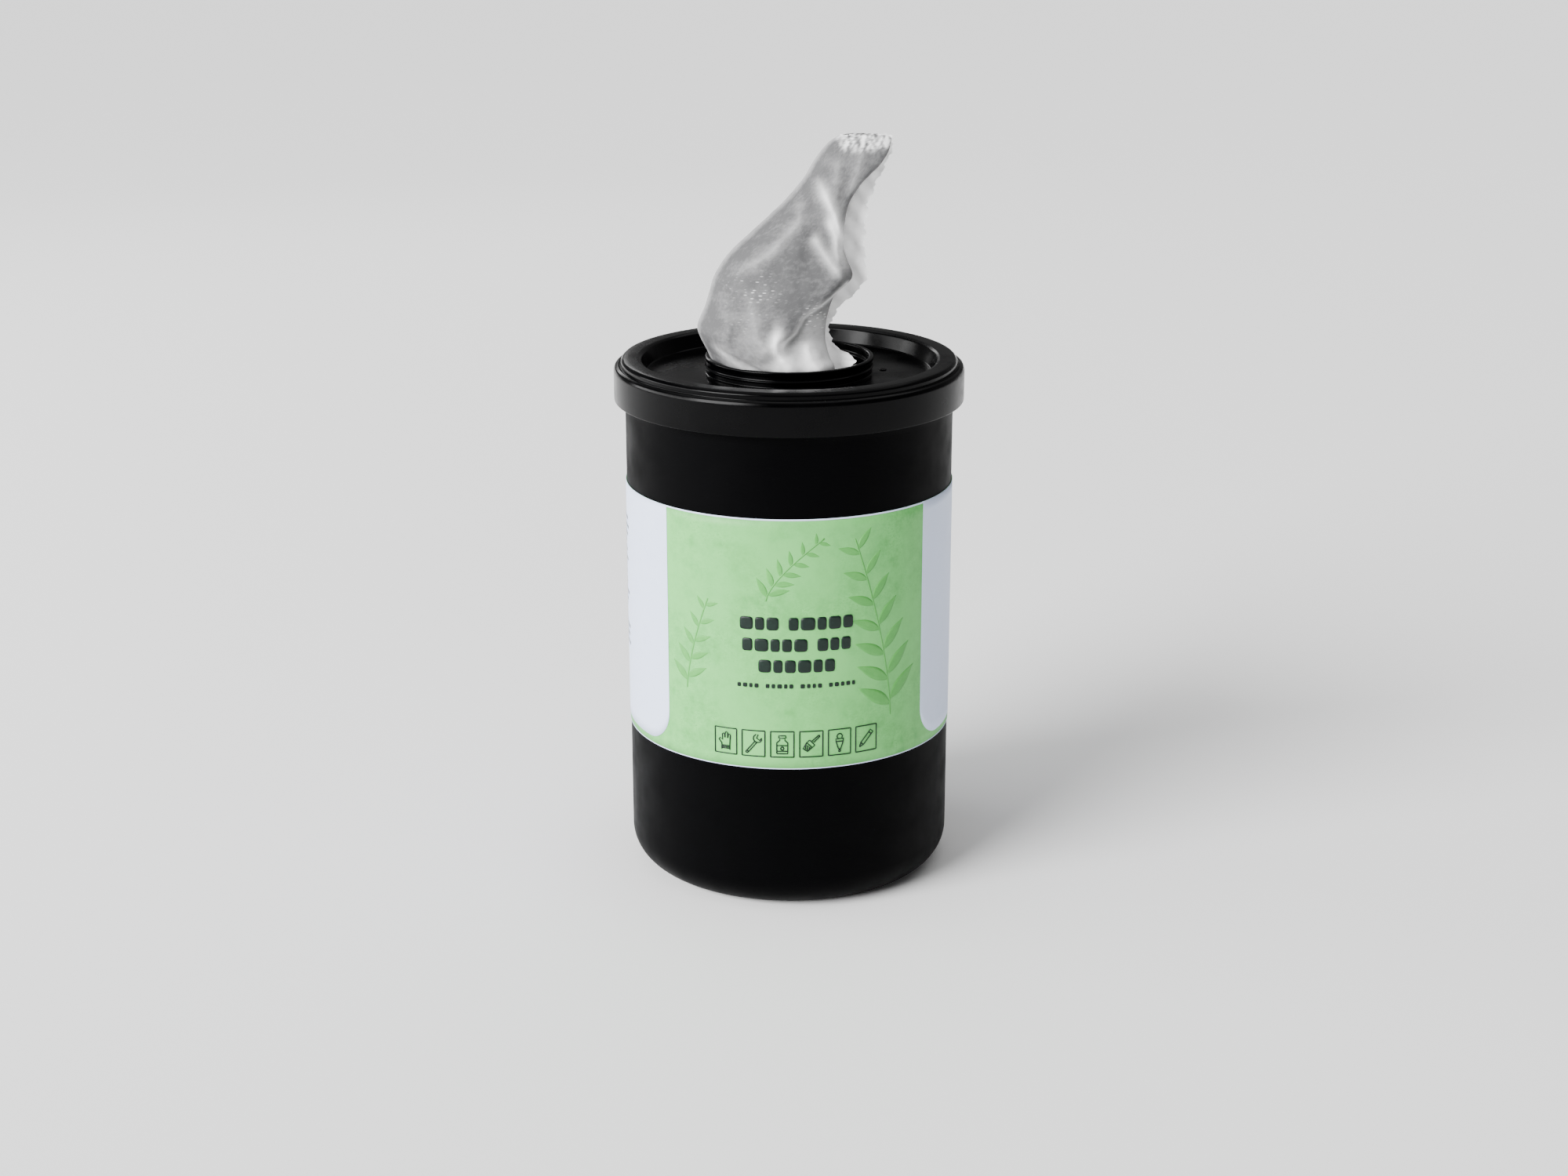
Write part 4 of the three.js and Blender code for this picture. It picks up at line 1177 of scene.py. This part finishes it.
def sheet_area(points):
    """Area of a grid of points: half of the cross products of both triangles of each quad."""
    p, q, r, s = points[:-1, :-1], points[:-1, 1:], points[1:, 1:], points[1:, :-1]
    first = np.linalg.norm(np.cross(q - p, r - p), axis=-1)
    second = np.linalg.norm(np.cross(r - p, s - p), axis=-1)
    return float((first + second).sum() / 2)


area_share = sheet_area(sheet_rows) / (SHEET_WIDTH * SHEET_LENGTH)
print("tail", round(sheet_area(sheet_rows[:TAIL_ROWS])), "body", round(sheet_area(body)), "mm2")
print("sheet rows:", sheet_rows.shape, "area share:", round(area_share, 3))

# %% [markdown]
# Where one wet layer lies over the dark, the cloth looks grey. Where it is doubled, frayed or dry it
# looks white, as in a band at the cut edge. A point attribute holds that tone, worked out from the
# place, and painted light with it: painted highlights along the ridges and the first lap's edge, and
# painted light from behind in the strip on the right, low on the right and a little more towards the
# right, with painted shade in the strip. The cloth is also made lighter below the first lap, at two
# spots on the left and along the left edge.

# %% Tone and painted light of the cloth
TAIL_WHITE = 0.6
# Lighter spots on the cloth; the first, low on the right, is painted light from behind.
WHITE_SPOTS = [
    # share of lightening, x and height above the lip of the middle, reach sideways and upwards
    (0.95, 5, 0, 12, 6.5), (0.45, -3.6, 10.5, 2.2, 4.5), (0.08, -13, 15, 9, 11),
]
# The cloth below the first lap is made lighter, and the flap gets painted shade.
UNDER_LAP, FLAP_SHADE = (0.34, 12, 12, 8, 9), (0.42, 18.0, 5.5, 4.0, 3.6)
# Patches where the dots show, whitened as painted light through the cloth.
DOTTED_PATCHES = [(1.3, -12, 25, 10, 8), (1.6, 9, 17, 5, 5.5), (0.5, -18, 12, 6, 5)]
FRAYED_FROM = (71.0, 15.0)  # height and x where the frayed corner starts


def glow(x, height, share, middle_x, middle_y, reach_x, reach_y):
    """A soft round spot that falls from its share at its middle to 0."""
    return share * np.exp(-(((x - middle_x) / reach_x) ** 2 + ((height - middle_y) / reach_y) ** 2))


def cloth_tone_and_painted_light(points):
    """0 is the grey of one wet layer, 1 is white. The cloth's own tone is added up here with painted
    highlights, painted light from behind and painted shade.
    """
    x, height = points[..., 0], points[..., 2] - lip_top
    front = front_layer[None, :]
    tone_and_painted_light = np.zeros(x.shape)
    # Painted highlights along the ridges' crests.
    for line, _, width, white in RIDGES:
        distance, _, taper = to_line(x, height, line)
        tone_and_painted_light += white * taper * (0.3 + 0.7 * front) * np.exp(-((distance / min(width, 1.9)) ** 1.5))
    # A painted highlight along the first lap's edge, and the cloth below the lap made lighter.
    distance, offset, _ = to_line(x, height, LAPS[0][0])
    tone_and_painted_light += np.exp(-((distance / 0.8) ** 2)) * 0.6
    below = np.clip(0.5 - offset / 1.5, 0, 1)
    tone_and_painted_light += glow(x, height, *UNDER_LAP) * below
    # Lighter spots; the first, low on the right, is painted light from behind.
    tone_and_painted_light += sum(glow(x, height, *spot) for spot in WHITE_SPOTS)
    frayed = np.clip((height - FRAYED_FROM[0]) / 2.5, 0, 1) * np.clip((x - FRAYED_FROM[1]) / 5, 0, 1)
    torn = wrinkles(points * np.array([0.7, 0.5, 1.3]), 24, 0.8, 1.9)
    tone_and_painted_light += frayed * np.clip(0.42 + 0.75 * torn, 0, 0.9)
    # Painted light from behind: a little lighter towards the right.
    tone_and_painted_light += 0.05 * np.clip((x - 5) / 20, 0, 1)
    # The strip on the right is painted light from behind, with painted shade in ripples, towards the
    # front layer and on its flap.
    strip = np.clip((RIGHT_FOLD - across[None, :]) / 0.02, 0, 1) * (1 - front)
    shade = 0.12 * np.sin(0.7 * height + 0.9 * x) - 0.22 * np.clip((17 - x) / 6, 0, 1)
    shade = shade - glow(x, height, *FLAP_SHADE)
    tone_and_painted_light += strip * (across[None, :] < LEFT_TURN * 0.6) * (0.85 + shade)
    # Lighter along the left edge of each row.
    edge = 1 - np.clip(np.abs(x - np.min(x, axis=1, keepdims=True)) / 1.6, 0, 1)
    tone_and_painted_light += 0.22 * edge
    below_lid = np.clip(-COLLAR_DEPTH - height, 0, 1)
    return np.clip(tone_and_painted_light * (1 - below_lid) + TAIL_WHITE * below_lid, 0, 1)


def dots_and_painted_light(points):
    """Where the embossed dots show, and where their white is painted light through the cloth: patches
    on the left of the front and one under the fold.
    """
    x, height = points[..., 0], points[..., 2] - lip_top
    patches = sum(glow(x, height, *patch) for patch in DOTTED_PATCHES)
    return np.clip(patches - 0.25, 0, 1) * front_layer[None, :]


LIGHT_THROUGH = 0.30
DOTS_PER_METRE = 470.0


def wipe_cloth():
    """Wet nonwoven: a soft white with a fine cross grain and small embossed dots about 2 mm apart,
    which follow the sheet's own UV map in metres and are whitened in patches as painted light. The
    colour also carries the painted light and shade of the cloth's tone attribute. The light that the
    thin cloth lets through from behind is painted in as a weak emission of its whitest places."""
    finish = Finish("wipe_cloth", Metallic=0.0, Specular_IOR_Level=0.35)
    share = finish.attribute("tone_and_painted_light")
    fibre = finish.noise(900.0, 5.0, 0.65, (1.0, 0.35, 1.0), "UV")
    cloud = finish.noise(120.0, 3.0, 0.5, (1, 1, 1), "UV")
    share = finish.math("ADD", share, finish.span(fibre, 0.3, 0.7, -0.05, 0.05))
    share = finish.math("ADD", share, finish.span(cloud, 0.3, 0.7, -0.03, 0.03))
    dots = finish.node("ShaderNodeTexVoronoi", feature="F1")
    dots.inputs["Scale"].default_value = DOTS_PER_METRE
    dots.inputs["Randomness"].default_value = 0.35
    finish.link(finish.where.outputs["UV"], dots.inputs["Vector"])
    bead = finish.span(dots.outputs["Distance"], 0.10, 0.26, 1.0, 0.0)
    patchy = finish.span(finish.noise(110.0, 2.0, 0.5, (1, 1, 1), "UV"), 0.36, 0.50)
    bead = finish.math("MULTIPLY", bead, finish.math("MULTIPLY", patchy, finish.attribute("dots_and_painted_light")))
    # The dots' white in the colour is painted light through the cloth; their bump below is the real
    # embossing.
    share = finish.math("ADD", share, finish.math("MULTIPLY", bead, 0.5))
    colour = finish.mix(share, rgb(84, 84, 85), rgb(254, 254, 254))
    finish.link(colour, finish.shader.inputs["Base Color"])
    finish.shader.inputs["Emission Color"].default_value = (1, 1, 1, 1)
    through = finish.math("MULTIPLY", finish.math("POWER", share, 2.0), LIGHT_THROUGH)
    finish.link(through, finish.shader.inputs["Emission Strength"])
    finish.link(finish.span(fibre, 0.3, 0.7, 0.55, 0.75), finish.shader.inputs["Roughness"])
    height = finish.math("ADD", finish.math("MULTIPLY", fibre, 0.5), bead)
    finish.bump(height, 0.12, 0.6)
    return finish.material


# %% [markdown]
# The sheet becomes one mesh with its own UV map, in metres of the flat cloth, so that grain and
# dots follow the cloth through its folds. It stays a single open surface, as a sheet of cloth.

# %% Make the wipe
v_share = np.linspace(0, 1, len(sheet_rows))[:, None] + 0 * across[None, :]
u_share = across[None, :] + 0 * v_share
flat_uv = np.stack([u_share * SHEET_WIDTH * MM, v_share * SHEET_LENGTH * MM], -1)
sheet_faces = grid_faces(len(sheet_rows), ACROSS)
wipe = make_piece("first_wipe", sheet_rows, sheet_faces, flat_uv, closed=False)
for name, field in (("tone_and_painted_light", cloth_tone_and_painted_light(sheet_rows)), ("dots_and_painted_light", dots_and_painted_light(sheet_rows))):
    values = field.astype(np.float32).ravel()
    wipe.data.attributes.new(name, "FLOAT", "POINT").data.foreach_set("value", values)
finish_piece(wipe, "lid", wipe_cloth(), ["pulled_wipe"])

# %% [markdown]
# A pale floor and plain studio light. Two wide suns light the floor evenly to its far end: the
# key comes from the left and in front, which leaves the right side of the label darker, and the
# other comes from above. Two panels stand where the lid mirrors them: one far behind draws the
# sheen on its left, and a wide one on the left draws the band along the well's wall on the right.

# %% Floor and light
def floor():
    """A plain pale plane."""
    side = 40.0
    mesh = bpy.data.meshes.new("floor")
    mesh.from_pydata([(-side, -side, 0), (side, -side, 0), (side, side, 0), (-side, side, 0)], [],
                     [(0, 1, 2, 3)])
    made = bpy.data.objects.new("floor", mesh)
    bpy.context.scene.collection.objects.link(made)
    finish = Finish("floor_white", Roughness=0.9, Specular_IOR_Level=0.0)
    finish.shader.inputs["Base Color"].default_value = (0.93, 0.93, 0.93, 1)
    mesh.materials.append(finish.material)


def turn_light(light, place, aim):
    """Places a light and turns it to face a point."""
    light.location = place
    direction = np.array(aim, float) - np.array(place, float)
    pitch = math.atan2(math.hypot(direction[0], direction[1]), -direction[2])
    yaw = math.atan2(direction[1], direction[0]) - math.pi / 2
    light.rotation_euler = (pitch, 0, yaw)
    bpy.context.scene.collection.objects.link(light)


def soft_sun(name, place, strength, width_degrees):
    """A sun as wide as a softbox looks."""
    data = bpy.data.lights.new(name, "SUN")
    data.energy = strength
    data.angle = math.radians(width_degrees)
    turn_light(bpy.data.objects.new(name, data), place, (0, 0, 0.12))


def panel_light(name, place, size, power):
    """A rectangular light that faces the lid."""
    data = bpy.data.lights.new(name, "AREA")
    data.shape = "RECTANGLE"
    data.size, data.size_y = size
    data.energy = power
    turn_light(bpy.data.objects.new(name, data), place, (0, 0, 0.19))


floor()
soft_sun("key", (-1.0, -0.85, 0.80), 7.5, 36)
soft_sun("top", (0.1, 0.2, 1.6), 1.3, 80)
panel_light("sheen_left", (-0.42, 1.5, 0.66), (0.5, 0.16), 1.2)
panel_light("sheen_side", (-1.5, -0.1, 0.51), (1.8, 0.4), 25.0)
world = bpy.data.worlds.new("studio")
world.use_nodes = True
backdrop = world.node_tree.nodes["Background"].inputs
backdrop["Color"].default_value = (1, 1, 1, 1)
backdrop["Strength"].default_value = 0.18
bpy.context.scene.world = world
